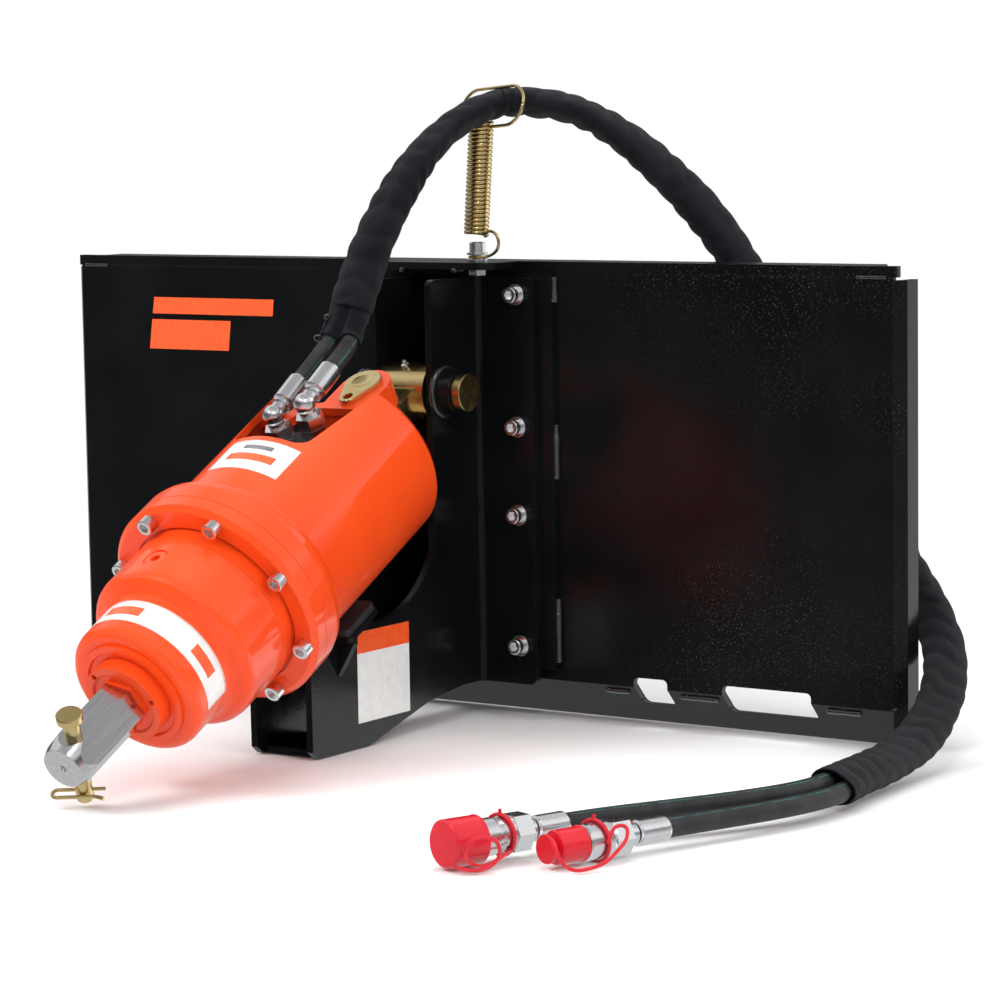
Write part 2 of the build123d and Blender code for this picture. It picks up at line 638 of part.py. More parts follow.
def rotor_outline():
    """Closed curve at roller radius inside the path of the roller centres."""
    offset = ROLLER_RADIUS + 0.08
    points = []
    count = 96
    for step in range(count):
        t = 2 * pi * step / count
        x = ROLLER_CIRCLE * cos(t) - ECCENTRICITY * cos(ROLLER_COUNT * t)
        y = ROLLER_CIRCLE * sin(t) - ECCENTRICITY * sin(ROLLER_COUNT * t)
        dx = -ROLLER_CIRCLE * sin(t) + ROLLER_COUNT * ECCENTRICITY * sin(ROLLER_COUNT * t)
        dy = ROLLER_CIRCLE * cos(t) - ROLLER_COUNT * ECCENTRICITY * cos(ROLLER_COUNT * t)
        speed = sqrt(dx * dx + dy * dy)
        points.append((x - offset * dy / speed, y + offset * dx / speed))
    return Spline(*points, periodic=True)


def make_gerotor_rotor():
    """Lobed rotor, set off the motor axis by the eccentricity."""
    rotor = extrude(make_face(rotor_outline()), ROTOR_END - ROTOR_START - 0.2)
    rotor = Pos(0, 0, ROTOR_START + 0.1) * rotor - rod(15, 230, 270)
    return MOTOR * Pos(ECCENTRICITY, 0, 0) * rotor


def make_drive_link():
    """Dog-bone link between the orbiting rotor and the centred motor shaft."""
    rear, front = ROTOR_START + 2, 346.0
    link = turned(
        (0, 0), (11, 0), (13.4, 3), (14, 12), (13.4, 21), (10.5, 26), (10, 60), (10.5, 80),
        (13.4, 85), (14, 93), (13.4, 102), (11, front - rear), (0, front - rear))
    lean = degrees(ECCENTRICITY / 81)
    middle = rear + 12
    pivot = Pos(ECCENTRICITY, 0, middle) * Rot(0, -lean, 0) * Pos(0, 0, -12)
    return MOTOR * pivot * link


def make_disc_valve():
    """Rotating disc valve with its feed slots."""
    disc = tube(40, 16, 220, 235)
    disc -= spread(rod(3.5, 215, 240), 31, 12)
    return MOTOR * disc


def make_port_cover():
    """Rear cover with the port boss and the valve chamber."""
    cover = turned(
        (0, 176), (MOTOR_RADIUS - 6, 176), (MOTOR_RADIUS, 182), (MOTOR_RADIUS, ROTOR_START),
        (18, ROTOR_START), (18, 236), (41, 236), (41, 219), (0, 219))
    cover += slab((-46, 46), (44, PORT_FACE), (188, 224))
    for x in (-PORT_X, PORT_X):
        cover -= bar_h(9 + FIT, 55, 80, x, PORT_STATION)
    cover -= spread(rod(5 + FIT, 170, 240), TIE_BOLT_CIRCLE, ROLLER_COUNT, 180 / ROLLER_COUNT)
    return MOTOR * cover


def make_motor_tie_bolts():
    """Long screws that clamp cover, stator and front housing."""
    bolt = rod(5, 176, 335) + Pos(0, 0, 168) * hexagon(14, 0, 8)
    return MOTOR * spread(bolt, TIE_BOLT_CIRCLE, ROLLER_COUNT, 180 / ROLLER_COUNT)


def make_port_adapters():
    """Threaded adapters in the two ports, one taller than the other."""
    adapters = []
    for x, ball in zip((-PORT_X, PORT_X), ELBOW_HEIGHTS):
        hex_top = ball - 28
        body = bar_h(9, 56, PORT_FACE) + bar_h(9, hex_top, ball - 22)
        body += Pos(0, PORT_FACE, 0) * Rot(-90, 0, 0) * hexagon(27, 0, hex_top - PORT_FACE)
        adapters.append(Pos(x, 0, PORT_STATION) * body)
    return MOTOR * (Part() + adapters)


def outlet_frame(x, ball):
    """Location of an elbow ball, local Z along the hose outlet."""
    rise = radians(OUTLET_RISE)
    return Plane(origin=(x, ball, PORT_STATION), x_dir=(1, 0, 0),
                 z_dir=(0.04, sin(rise), -cos(rise))).location


def make_swivel_elbows():
    """Swivel nuts and round-backed elbows that turn the hoses towards the pin."""
    elbows = []
    for x, ball in zip((-PORT_X, PORT_X), ELBOW_HEIGHTS):
        place = Pos(x, 0, PORT_STATION)
        nut_low = ball - 27.5
        nut = Pos(0, nut_low, 0) * Rot(-90, 0, 0) * hexagon(27, 0, 14)
        nut += bar_h(9.5, ball - 14, ball)
        nut -= bar_h(9 + FIT, ball - 30, ball - 22 + FIT)
        elbow = place * nut + Pos(x, ball, PORT_STATION) * Sphere(12)
        elbow += outlet_frame(x, ball) * (rod(9, 0, 20) + rod(11, 15, 19))
        elbows.append(elbow)
    return MOTOR * (Part() + elbows)


def make_motor_ferrules():
    """Crimped ferrules on the motor end of the hoses."""
    ferrule = turned(
        (0, 20.1), (9, 20.1), (FERRULE_RADIUS, 22), (FERRULE_RADIUS, 55), (FERRULE_RADIUS - 1, 57), (0, 57))
    return MOTOR * (Part() + [
        outlet_frame(x, ball) * ferrule for x, ball in zip((-PORT_X, PORT_X), ELBOW_HEIGHTS)])


# ---- couplers -------------------------------------------------------------------------------
def coupler_frame(origin):
    """Coupler location, local Z from the cap's face towards the hose."""
    return Plane(origin=origin, x_dir=(COUPLER_AXIS.Y, -COUPLER_AXIS.X, 0), z_dir=COUPLER_AXIS).location


FEMALE = coupler_frame(FEMALE_ORIGIN)
MALE = coupler_frame(MALE_ORIGIN)


def make_female_coupler():
    """Female half: socket body, collar and hexagon."""
    body = turned(
        (6, 10), (14.5, 10), (14.5, 62), (17, 62), (17, 70), (16, 71), (16, 75), (12, 97), (10, 99),
        (10, 103), (0, 103), (0, 60), (6, 50))
    body += hexagon(34, 75, 94)
    return FEMALE * body


def make_lock_sleeve():
    """Sliding sleeve that frees the coupling balls when it is pulled back."""
    sleeve = tube(18, 14.5 + FIT, 9, 54)
    sleeve = chamfer(sleeve.edges().group_by(Axis.Z)[0], 0.8)
    return FEMALE * sleeve


def make_female_poppet():
    """Spring-loaded valve in the female half."""
    return FEMALE * turned((0, 11), (5, 13), (6 - FIT, 16), (6 - FIT, 38), (3, 39), (3, 44), (0, 44))


def make_dust_cap():
    """Pull-off cap over the female half."""
    cap = turned(
        (0, 0), (21, 0), (23, 2), (22.6, 36), (23, 38), (18 + FIT, 38), (18 + FIT, 6), (0, 6))
    return FEMALE * cap


def make_male_coupler():
    """Male half: nipple, body and hexagon."""
    body = turned(
        (5, 12), (10.5, 12), (11.5, 15), (11.5, 28), (10, 30), (11.5, 32), (11.5, 42), (17, 42),
        (17.5, 44), (17.5, 70), (12, 97), (10, 99), (10, 105), (0, 105), (0, 60), (5, 55))
    body += hexagon(33, 72, 93)
    return MALE * body


def make_male_poppet():
    """Spring-loaded valve in the male half."""
    return MALE * turned((0, 13), (4, 14), (5 - FIT, 17), (5 - FIT, 40), (3, 41), (3, 48), (0, 48))


def make_dust_plug():
    """Pull-off cap over the male half, with a finger flange."""
    plug = turned(
        (0, 0), (13.5, 0), (14, 1.5), (13.5, 4), (9.5, 5.5), (9.5, 8), (15.5, 10), (16.5, 12), (16.5, 38),
        (17.3, 39), (17.3, 41), (11.5 + FIT, 41), (11.5 + FIT, 10.5), (0, 10.5))
    return MALE * plug


def make_cap_tethers():
    """Ring and strap that keep each cap with its coupler."""
    tethers = []
    for frame, band_at, band, side in ((FEMALE, 66, 17.3, 1), (MALE, 56, 17.8, 1)):
        ring = Pos(0, 0, band_at) * Torus(band + 2, 1.9)
        path = Spline(
            (side * 15, -(band + 2) * 0.68, band_at), (30, -16, band_at - 6), (40, -15, band_at - 24),
            (36, -14, 22), (27, -9, 12), tangents=((1, -0.4, 0), (-1, 0.6, -0.5)))
        strap = sweep(Plane(path @ 0, z_dir=path % 0) * Circle(1.8), path)
        tethers.append(frame * (ring + strap))
    return Part() + tethers


def make_coupler_ferrules():
    """Crimped ferrules on the coupler end of the hoses."""
    ferrule = turned(
        (0, 0), (10, 0), (FERRULE_RADIUS, 1.5), (FERRULE_RADIUS, 34), (FERRULE_RADIUS - 1, 36), (0, 36))
    return Part() + [FEMALE * Pos(0, 0, 105) * ferrule, MALE * Pos(0, 0, 107) * ferrule]


# ---- shaft pin ------------------------------------------------------------------------------
CLIP_HEIGHT = -48.0
CLIP_WIRE = 2.0
CLIP_TURN = 27.0


def make_shaft_pin():
    """Headed pin that locks the auger on the hexagon, with a cross hole for the clip."""
    pin = bar_h(SHAFT_PIN_RADIUS, -60, 45, station=SHAFT_PIN_STATION)
    pin = chamfer(pin.edges().group_by(Axis.Y)[0], 1.2)
    head = bar_h(13.5, 45, 53, station=SHAFT_PIN_STATION)
    head = chamfer(head.edges().group_by(Axis.Y)[-1], 1.0)
    pin += head
    hole = clip_place() * Rot(0, 90, 0) * rod(CLIP_WIRE + 0.1, -20, 20)
    return OUTPUT * (pin - hole)


def clip_place():
    """Centre of the clip hole, local X along the clip's straight leg."""
    return Pos(0, CLIP_HEIGHT, SHAFT_PIN_STATION) * Rot(0, CLIP_TURN, 0)


def make_r_clip():
    """Spring clip: one straight leg through the pin, one bowed leg round it."""
    gap = SHAFT_PIN_RADIUS + CLIP_WIRE + 0.3
    path = Line((22, 0, 0), (-26, 0, 0))
    path += ThreePointArc((-26, 0, 0), (-26 - gap / 2, 0, gap / 2), (-26, 0, gap))
    path += Line((-26, 0, gap), (8, 0, gap))
    path += TangentArc((8, 0, gap), (22, 0, gap + 4), tangent=(1, 0, 0))
    wire = sweep(Plane((22, 0, 0), z_dir=(-1, 0, 0)) * Circle(CLIP_WIRE), path)
    return OUTPUT * clip_place() * wire


# ---- hoses ----------------------------------------------------------------------------------
HOSE_OFFSET = HOSE_RADIUS + 0.4
SLEEVE_WAYPOINTS = (
    (0, -215, 455), (11, -165, 546), (38, -80, 655), (59, -30, 690), (72, -10, 698),
    (113, 12, 697), (168, 40, 680), (223, 66, 637), (277, 92, 575), (340, 108, 480),
    (402, 114, 380), (466, 110, 280), (529, 92, 190), (586, 63, 122), (616, 14, 78),
    (632, -60, 42), (640, -150, 26), (645, -240, 23), (652, -300, 23),
)


def sleeve_path():
    """Centre line of the hose pair from the motor, over the plate and round to its front."""
    return Spline(*SLEEVE_WAYPOINTS)


def sleeve_section(outline, shift=0.0):
    """Outline at the sleeve's start, moved sideways by a shift."""
    path = sleeve_path()
    start = Plane(path @ 0, x_dir=(1, 0, 0), z_dir=path % 0)
    return start * Rot(0, 0, SLEEVE_TURN) * Pos(shift, 0) * outline


def lead(start, start_dir, end, end_dir):
    """Round hose length between two points with given end directions."""
    path = Spline(start, end, tangents=(start_dir, end_dir))
    return sweep(Plane(path @ 0, z_dir=path % 0) * Circle(HOSE_RADIUS), path)


def make_hose(side, elbow_height, coupler, coupler_end):
    """One hose: lead from the motor ferrule, sleeved run and lead to its coupler."""
    path = sleeve_path()
    run = sweep(sleeve_section(Circle(HOSE_RADIUS), side * HOSE_OFFSET), path)
    caps = run.faces().filter_by(GeomType.PLANE)
    first = caps.sort_by_distance(path @ 0)[0]
    last = caps.sort_by_distance(path @ 1)[0]
    outlet = MOTOR * outlet_frame(side * PORT_X, elbow_height)
    start = (outlet * Pos(0, 0, 57.2)).position
    start_dir = (outlet * Pos(0, 0, 58.2)).position - start
    end = (coupler * Pos(0, 0, coupler_end)).position
    rear = lead(start, start_dir, first.center(), path % 0)
    front = lead(last.center(), path % 1, end, -COUPLER_AXIS)
    return [rear, run, front]


def make_hoses():
    """The pressure and return hoses."""
    left = make_hose(-1, ELBOW_HEIGHTS[0], MALE, 143.3)
    right = make_hose(1, ELBOW_HEIGHTS[1], FEMALE, 141.3)
    return Part() + [*left, *right]


def make_hose_sleeve():
    """Fabric sleeve round both hoses."""
    outer = Ellipse(SLEEVE_HALF_WIDTH, SLEEVE_HALF_HEIGHT)
    inner = Ellipse(SLEEVE_HALF_WIDTH - SLEEVE_WALL, SLEEVE_HALF_HEIGHT - SLEEVE_WALL)
    return sweep(sleeve_section(outer - inner), sleeve_path())


# ---- all parts ------------------------------------------------------------------------------
PARTS = {
    "mount_plate": make_mount_plate,
    "top_rail": make_top_rail,
    "backing_bars": make_backing_bars,
    "side_plate_right": make_side_plate,
    "side_plate_left": lambda: mirror(make_side_plate(), about=Plane.YZ),
    "top_tab": make_top_tab,
    "bracket_screws": make_bracket_screws,
    "bracket_washers": make_bracket_washers,
    "spring_bolt": make_spring_bolt,
    "hose_spring": make_hose_spring,
    "frame_pin": make_frame_pin,
    "frame_pin_ring": make_frame_pin_ring,
    "cradle_plates": make_cradle_plates,
    "saddle_pad": make_saddle_pad,
    "knuckle": make_knuckle,
    "knuckle_bushings": make_knuckle_bushings,
    "grease_fittings": make_grease_fittings,
    "hood": make_hood,
    "flag_pin": make_flag_pin,
    "ring_gear": make_ring_gear,
    "nose_housing": make_nose_housing,
    "fill_plug": make_fill_plug,
    "flange_screws": make_flange_screws,
    "planet_gear_1": lambda: make_planet(0),
    "planet_gear_2": lambda: make_planet(1),
    "planet_gear_3": lambda: make_planet(2),
    "planet_carrier": make_planet_carrier,
    "planet_pins": make_planet_pins,
    "output_shaft": make_output_shaft,
    "spanner_nut": make_spanner_nut,
    "bearing_cups": make_bearing_cups,
    "bearing_cones": make_bearing_cones,
    "oil_seal": make_oil_seal,
    "motor_front_housing": make_motor_front_housing,
    "gerotor_ring": make_gerotor_ring,
    "gerotor_rollers": make_gerotor_rollers,
    "gerotor_rotor": make_gerotor_rotor,
    "drive_link": make_drive_link,
    "disc_valve": make_disc_valve,
    "port_cover": make_port_cover,
    "motor_tie_bolts": make_motor_tie_bolts,
    "motor_shaft": make_motor_shaft,
    "port_adapters": make_port_adapters,
    "swivel_elbows": make_swivel_elbows,
    "motor_ferrules": make_motor_ferrules,
    "hoses": make_hoses,
    "hose_sleeve": make_hose_sleeve,
    "coupler_ferrules": make_coupler_ferrules,
    "female_coupler": make_female_coupler,
    "lock_sleeve": make_lock_sleeve,
    "female_poppet": make_female_poppet,
    "dust_cap": make_dust_cap,
    "male_coupler": make_male_coupler,
    "male_poppet": make_male_poppet,
    "dust_plug": make_dust_plug,
    "cap_tethers": make_cap_tethers,
    "shaft_pin": make_shaft_pin,
    "r_clip": make_r_clip,
}

os.makedirs("parts", exist_ok=True)
for node_name, maker in PARTS.items():
    save(node_name, maker())
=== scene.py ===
import json
import math

import bpy
from mathutils import Matrix, Vector, noise
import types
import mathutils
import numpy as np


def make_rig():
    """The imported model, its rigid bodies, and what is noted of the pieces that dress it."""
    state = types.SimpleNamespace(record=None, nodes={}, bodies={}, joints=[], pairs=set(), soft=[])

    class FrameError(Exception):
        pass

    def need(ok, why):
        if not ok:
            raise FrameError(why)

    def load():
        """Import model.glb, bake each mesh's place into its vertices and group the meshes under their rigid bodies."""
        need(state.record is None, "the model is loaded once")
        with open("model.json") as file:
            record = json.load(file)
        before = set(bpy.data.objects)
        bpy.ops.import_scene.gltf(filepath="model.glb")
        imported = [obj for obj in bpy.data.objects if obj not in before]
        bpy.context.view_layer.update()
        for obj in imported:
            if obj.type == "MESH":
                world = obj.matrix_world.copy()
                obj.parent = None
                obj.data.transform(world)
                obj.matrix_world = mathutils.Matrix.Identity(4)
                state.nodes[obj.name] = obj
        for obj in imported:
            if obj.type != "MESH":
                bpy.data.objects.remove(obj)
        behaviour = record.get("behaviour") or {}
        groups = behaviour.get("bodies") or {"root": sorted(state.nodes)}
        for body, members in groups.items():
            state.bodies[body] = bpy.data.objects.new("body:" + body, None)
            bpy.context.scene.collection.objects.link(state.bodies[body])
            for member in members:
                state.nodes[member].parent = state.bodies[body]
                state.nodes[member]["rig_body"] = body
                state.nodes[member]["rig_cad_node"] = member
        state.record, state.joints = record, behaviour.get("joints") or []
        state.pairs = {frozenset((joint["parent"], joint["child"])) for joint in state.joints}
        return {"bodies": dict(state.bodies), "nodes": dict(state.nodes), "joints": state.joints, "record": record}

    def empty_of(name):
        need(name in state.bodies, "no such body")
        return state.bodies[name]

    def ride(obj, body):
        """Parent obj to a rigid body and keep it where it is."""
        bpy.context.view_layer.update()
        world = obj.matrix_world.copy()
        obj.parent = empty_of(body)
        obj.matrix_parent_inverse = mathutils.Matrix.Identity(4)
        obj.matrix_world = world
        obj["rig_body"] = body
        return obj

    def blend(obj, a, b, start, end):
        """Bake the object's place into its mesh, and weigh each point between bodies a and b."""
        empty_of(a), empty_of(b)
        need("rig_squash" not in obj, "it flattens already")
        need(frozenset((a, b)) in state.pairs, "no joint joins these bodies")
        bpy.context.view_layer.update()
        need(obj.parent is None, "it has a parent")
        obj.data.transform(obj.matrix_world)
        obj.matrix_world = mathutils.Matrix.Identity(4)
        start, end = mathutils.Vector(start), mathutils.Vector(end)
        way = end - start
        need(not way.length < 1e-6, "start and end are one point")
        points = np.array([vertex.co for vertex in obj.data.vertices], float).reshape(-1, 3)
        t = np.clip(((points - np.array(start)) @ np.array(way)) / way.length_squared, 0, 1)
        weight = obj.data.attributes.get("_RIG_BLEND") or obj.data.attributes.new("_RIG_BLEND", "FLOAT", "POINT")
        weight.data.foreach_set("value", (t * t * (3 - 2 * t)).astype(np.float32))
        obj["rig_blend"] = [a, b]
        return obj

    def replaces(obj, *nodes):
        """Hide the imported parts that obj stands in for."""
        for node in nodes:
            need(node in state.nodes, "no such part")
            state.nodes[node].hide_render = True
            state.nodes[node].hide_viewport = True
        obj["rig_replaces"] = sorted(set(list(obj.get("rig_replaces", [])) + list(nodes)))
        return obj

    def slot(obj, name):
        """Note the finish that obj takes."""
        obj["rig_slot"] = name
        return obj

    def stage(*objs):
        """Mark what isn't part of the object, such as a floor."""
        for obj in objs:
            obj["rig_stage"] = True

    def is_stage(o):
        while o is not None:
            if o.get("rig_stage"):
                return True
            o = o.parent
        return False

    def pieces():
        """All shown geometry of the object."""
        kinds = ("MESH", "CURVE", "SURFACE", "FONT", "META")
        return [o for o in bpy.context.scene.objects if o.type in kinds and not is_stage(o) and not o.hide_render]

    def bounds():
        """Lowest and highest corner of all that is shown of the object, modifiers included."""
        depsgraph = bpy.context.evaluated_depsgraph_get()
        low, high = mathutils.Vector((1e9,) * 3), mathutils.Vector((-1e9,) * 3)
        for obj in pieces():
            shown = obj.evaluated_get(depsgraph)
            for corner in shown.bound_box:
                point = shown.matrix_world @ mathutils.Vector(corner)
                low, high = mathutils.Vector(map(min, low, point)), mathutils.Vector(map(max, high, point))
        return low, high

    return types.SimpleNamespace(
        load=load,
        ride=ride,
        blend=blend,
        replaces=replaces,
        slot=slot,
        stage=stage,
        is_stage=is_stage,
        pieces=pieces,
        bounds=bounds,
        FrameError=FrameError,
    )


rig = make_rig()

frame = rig.load()
cad_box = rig.bounds()
NODES = frame["nodes"]

# ---- motor frame: origin on the frame pin, x = +X, h = up from the axis, s = along the axis
TILT = math.radians(28.39)
PIN = Vector((0.0, -0.0853, 0.3786))
AXIS_S = Vector((0.0, -math.cos(TILT), -math.sin(TILT)))
AXIS_H = Vector((0.0, -math.sin(TILT), math.cos(TILT)))
AXIS_X = Vector((1.0, 0.0, 0.0))


def motor_point(x, h, s):
    """Row-frame point from motor coordinates in millimetres."""
    return PIN + (AXIS_X * x + AXIS_H * h + AXIS_S * s) / 1000.0


def around(radius, degrees, s):
    """Point on a circle about the motor axis; 0 degrees is +X and 90 is up."""
    a = math.radians(degrees)
    return motor_point(radius * math.cos(a), radius * math.sin(a), s)


# ---- shader helpers ---------------------------------------------------------------------------
class Shader:
    """One procedural material, built node by node."""

    def __init__(self, name):
        self.material = bpy.data.materials.new(name)
        self.material.use_nodes = True
        self.tree = self.material.node_tree
        self.surface = self.tree.nodes["Principled BSDF"]
        self.place = self.add("ShaderNodeTexCoord").outputs["Object"]

    def add(self, kind, **values):
        node = self.tree.nodes.new(kind)
        for key, value in values.items():
            setattr(node, key, value)
        return node

    def link(self, source, target):
        self.tree.links.new(source, target)

    def set(self, **values):
        """Principled inputs by name, with _ for a space."""
        for key, value in values.items():
            self.surface.inputs[key.replace("_", " ")].default_value = value

    def stretched(self, scale, vector=None):
        node = self.add("ShaderNodeMapping")
        node.inputs["Scale"].default_value = scale
        self.link(vector or self.place, node.inputs["Vector"])
        return node.outputs["Vector"]

    def noise(self, scale, detail=4.0, rough=0.5, vector=None):
        node = self.add("ShaderNodeTexNoise")
        node.inputs["Scale"].default_value = scale
        node.inputs["Detail"].default_value = detail
        node.inputs["Roughness"].default_value = rough
        self.link(vector or self.place, node.inputs["Vector"])
        return node.outputs["Fac"]

    def specks(self, scale, size, share):
        """Scattered dots: one in a share of the cells, each of the given size."""
        node = self.add("ShaderNodeTexVoronoi")
        node.inputs["Scale"].default_value = scale
        self.link(self.place, node.inputs["Vector"])
        parts = self.add("ShaderNodeSeparateColor")
        self.link(node.outputs["Color"], parts.inputs["Color"])
        dot = self.math("LESS_THAN", node.outputs["Distance"], size)
        return self.math("MULTIPLY", dot, self.math("LESS_THAN", parts.outputs["Red"], share))

    def split(self, vector=None):
        """X, Y and Z sockets of a vector."""
        node = self.add("ShaderNodeSeparateXYZ")
        self.link(vector or self.place, node.inputs["Vector"])
        return [node.outputs[axis] for axis in "XYZ"]

    def wave(self, scale, direction="X", distortion=0.0, vector=None):
        node = self.add("ShaderNodeTexWave", bands_direction=direction)
        node.inputs["Scale"].default_value = scale
        node.inputs["Distortion"].default_value = distortion
        self.link(vector or self.place, node.inputs["Vector"])
        return node.outputs["Fac"]

    def remap(self, value, low, high, to_low=0.0, to_high=1.0):
        node = self.add("ShaderNodeMapRange")
        for key, number in zip(
            ("From Min", "From Max", "To Min", "To Max"), (low, high, to_low, to_high)
        ):
            node.inputs[key].default_value = number
        self.link(value, node.inputs["Value"])
        return node.outputs["Result"]

    def math(self, operation, a, b=0.0):
        node = self.add("ShaderNodeMath", operation=operation)
        for index, item in enumerate((a, b)):
            if isinstance(item, (int, float)):
                node.inputs[index].default_value = item
            else:
                self.link(item, node.inputs[index])
        return node.outputs["Value"]

    def mix(self, factor, a, b):
        """Colour mix; a and b are RGB triples or sockets."""
        node = self.add("ShaderNodeMix", data_type="RGBA")
        if isinstance(factor, (int, float)):
            node.inputs["Factor"].default_value = factor
        else:
            self.link(factor, node.inputs["Factor"])
        for key, item in (("A", a), ("B", b)):
            target = [i for i in node.inputs if i.name == key and i.type == "RGBA"][0]
            if isinstance(item, tuple):
                target.default_value = (*item, 1.0)
            else:
                self.link(item, target)
        return [o for o in node.outputs if o.type == "RGBA"][0]

    def relief(self, height, distance, strength=1.0, edge=0.0):
        """Bump on top of softly rounded edges, into the surface normal."""
        bump = self.add("ShaderNodeBump")
        bump.inputs["Strength"].default_value = strength
        bump.inputs["Distance"].default_value = distance
        self.link(height, bump.inputs["Height"])
        if edge:
            bevel = self.add("ShaderNodeBevel", samples=4)
            bevel.inputs["Radius"].default_value = edge
            self.link(bevel.outputs["Normal"], bump.inputs["Normal"])
        self.link(bump.outputs["Normal"], self.surface.inputs["Normal"])

    def colour(self, socket):
        self.link(socket, self.surface.inputs["Base Color"])

    def rough(self, socket):
        self.link(socket, self.surface.inputs["Roughness"])


def gloss_paint(name, colour, tint, dust, shine, coat, rough):
    """Sprayed gloss paint: orange peel, tone drift, faint haze, and dust on the right side."""
    s = Shader(name)
    drift = s.remap(s.noise(9.0, 3.0), 0.35, 0.7)
    haze = s.math("MULTIPLY", s.remap(s.noise(3.5, 4.0), 0.42, 0.7), 0.02 * dust)
    base = s.mix(haze, s.mix(drift, colour, tint), (0.35, 0.42, 0.45))
    specks = s.math("ADD", s.specks(240.0, 0.16, 0.25), s.specks(520.0, 0.25, 0.35))
    right_side = s.remap(s.split()[0], 0.16, 0.34)
    patch = s.math("MULTIPLY", s.remap(s.noise(5.0, 3.0), 0.4, 0.66), right_side)
    amount = s.math("MULTIPLY", s.math("MULTIPLY", specks, patch), dust)
    s.colour(s.mix(amount, base, (0.16, 0.18, 0.2)))
    low, high = rough
    s.rough(s.math("ADD", s.remap(s.noise(40.0, 3.0), 0.3, 0.7, low, high), amount))
    s.set(Coat_Weight=coat, Coat_Roughness=0.05, Specular_IOR_Level=shine)
    s.relief(s.noise(260.0, 2.0), 0.0004, 0.25, edge=0.0012)
    return s.material


def plated(name, colour, tint, low, high, edge=0.0006):
    """Zinc plating: metallic with drifting tint and small pits."""
    s = Shader(name)
    s.set(Metallic=1.0)
    s.colour(s.mix(s.remap(s.noise(28.0, 3.0), 0.25, 0.8), colour, tint))
    s.rough(s.remap(s.noise(130.0, 4.0), 0.2, 0.8, low, high))
    s.relief(s.noise(500.0, 2.0), 0.0001, 0.15, edge=edge)
    return s.material


def machined(name):
    """Turned steel with fine tool lines."""
    s = Shader(name)
    s.set(Metallic=1.0)
    lines = s.noise(60.0, 6.0, 0.7, s.stretched((1.0, 14.0, 14.0)))
    s.colour(s.mix(s.remap(lines, 0.3, 0.7), *STEEL))
    s.rough(s.remap(lines, 0.3, 0.7, 0.18, 0.32))
    s.relief(lines, 0.0001, 0.15, edge=0.0008)
    return s.material


def turned_gold(name):
    """Yellow zinc over turning marks that run round the frame pin's axis."""
    s = Shader(name)
    s.set(Metallic=1.0)
    _, y, z = s.split()
    dy, dz = s.math("SUBTRACT", y, PIN.y), s.math("SUBTRACT", z, PIN.z)
    radius = s.math("SQRT", s.math("ADD", s.math("MULTIPLY", dy, dy), s.math("MULTIPLY", dz, dz)))
    rings = s.math("SINE", s.math("MULTIPLY", radius, 7000.0))
    worn = s.remap(s.noise(90.0, 4.0), 0.3, 0.7)
    s.colour(s.mix(worn, (0.42, 0.29, 0.11), (0.6, 0.45, 0.2)))
    s.rough(s.remap(s.math("ADD", rings, worn), -1.0, 2.0, 0.26, 0.42))
    s.relief(rings, 0.0002, 0.35, edge=0.0008)
    return s.material


def painted_shaft(name, paint):
    """Drawn steel hexagon, streaked along the shaft, whose collar took the case's paint."""
    s = Shader(name)
    x, y, z = s.split()
    dy, dz = s.math("SUBTRACT", y, PIN.y), s.math("SUBTRACT", z, PIN.z)
    along = s.math("ADD", s.math("MULTIPLY", dy, AXIS_S.y), s.math("MULTIPLY", dz, AXIS_S.z))
    high = s.math("ADD", s.math("MULTIPLY", dy, AXIS_H.y), s.math("MULTIPLY", dz, AXIS_H.z))
    own = s.add("ShaderNodeCombineXYZ")
    for socket, value in zip(own.inputs, (x, high, s.math("MULTIPLY", along, 0.04))):
        s.link(value, socket)
    lines = s.noise(260.0, 4.0, 0.6, own.outputs["Vector"])
    edge = s.math("ADD", along, s.math("MULTIPLY", s.noise(300.0), 0.001))
    bare = s.math("GREATER_THAN", edge, 0.5935)
    s.colour(s.mix(bare, paint, s.mix(s.remap(lines, 0.1, 0.9), *STEEL)))
    s.link(bare, s.surface.inputs["Metallic"])
    s.rough(s.remap(lines, 0.3, 0.7, 0.1, 0.22))
    s.relief(lines, 0.00005, 0.12, edge=0.0008)
    return s.material


def cast(name, colour):
    """Rough casting."""
    s = Shader(name)
    s.set(Metallic=0.6)
    grain = s.noise(420.0, 6.0, 0.65)
    s.colour(s.mix(grain, colour, tuple(c * 1.8 for c in colour)))
    s.rough(s.remap(grain, 0.3, 0.7, 0.5, 0.75))
    s.relief(grain, 0.0008, 0.7, edge=0.001)
    return s.material


def rubber(name, low, high):
    """Matt rubber with a fine moulded grain."""
    s = Shader(name)
    grain = s.noise(900.0, 3.0)
    drift = s.remap(s.noise(30.0, 4.0), 0.3, 0.7)
    s.colour(s.mix(drift, (0.014, 0.015, 0.017), (0.03, 0.031, 0.034)))
    s.rough(s.remap(grain, 0.3, 0.7, low, high))
    s.relief(grain, 0.0003, 0.5, edge=0.0006)
    return s.material


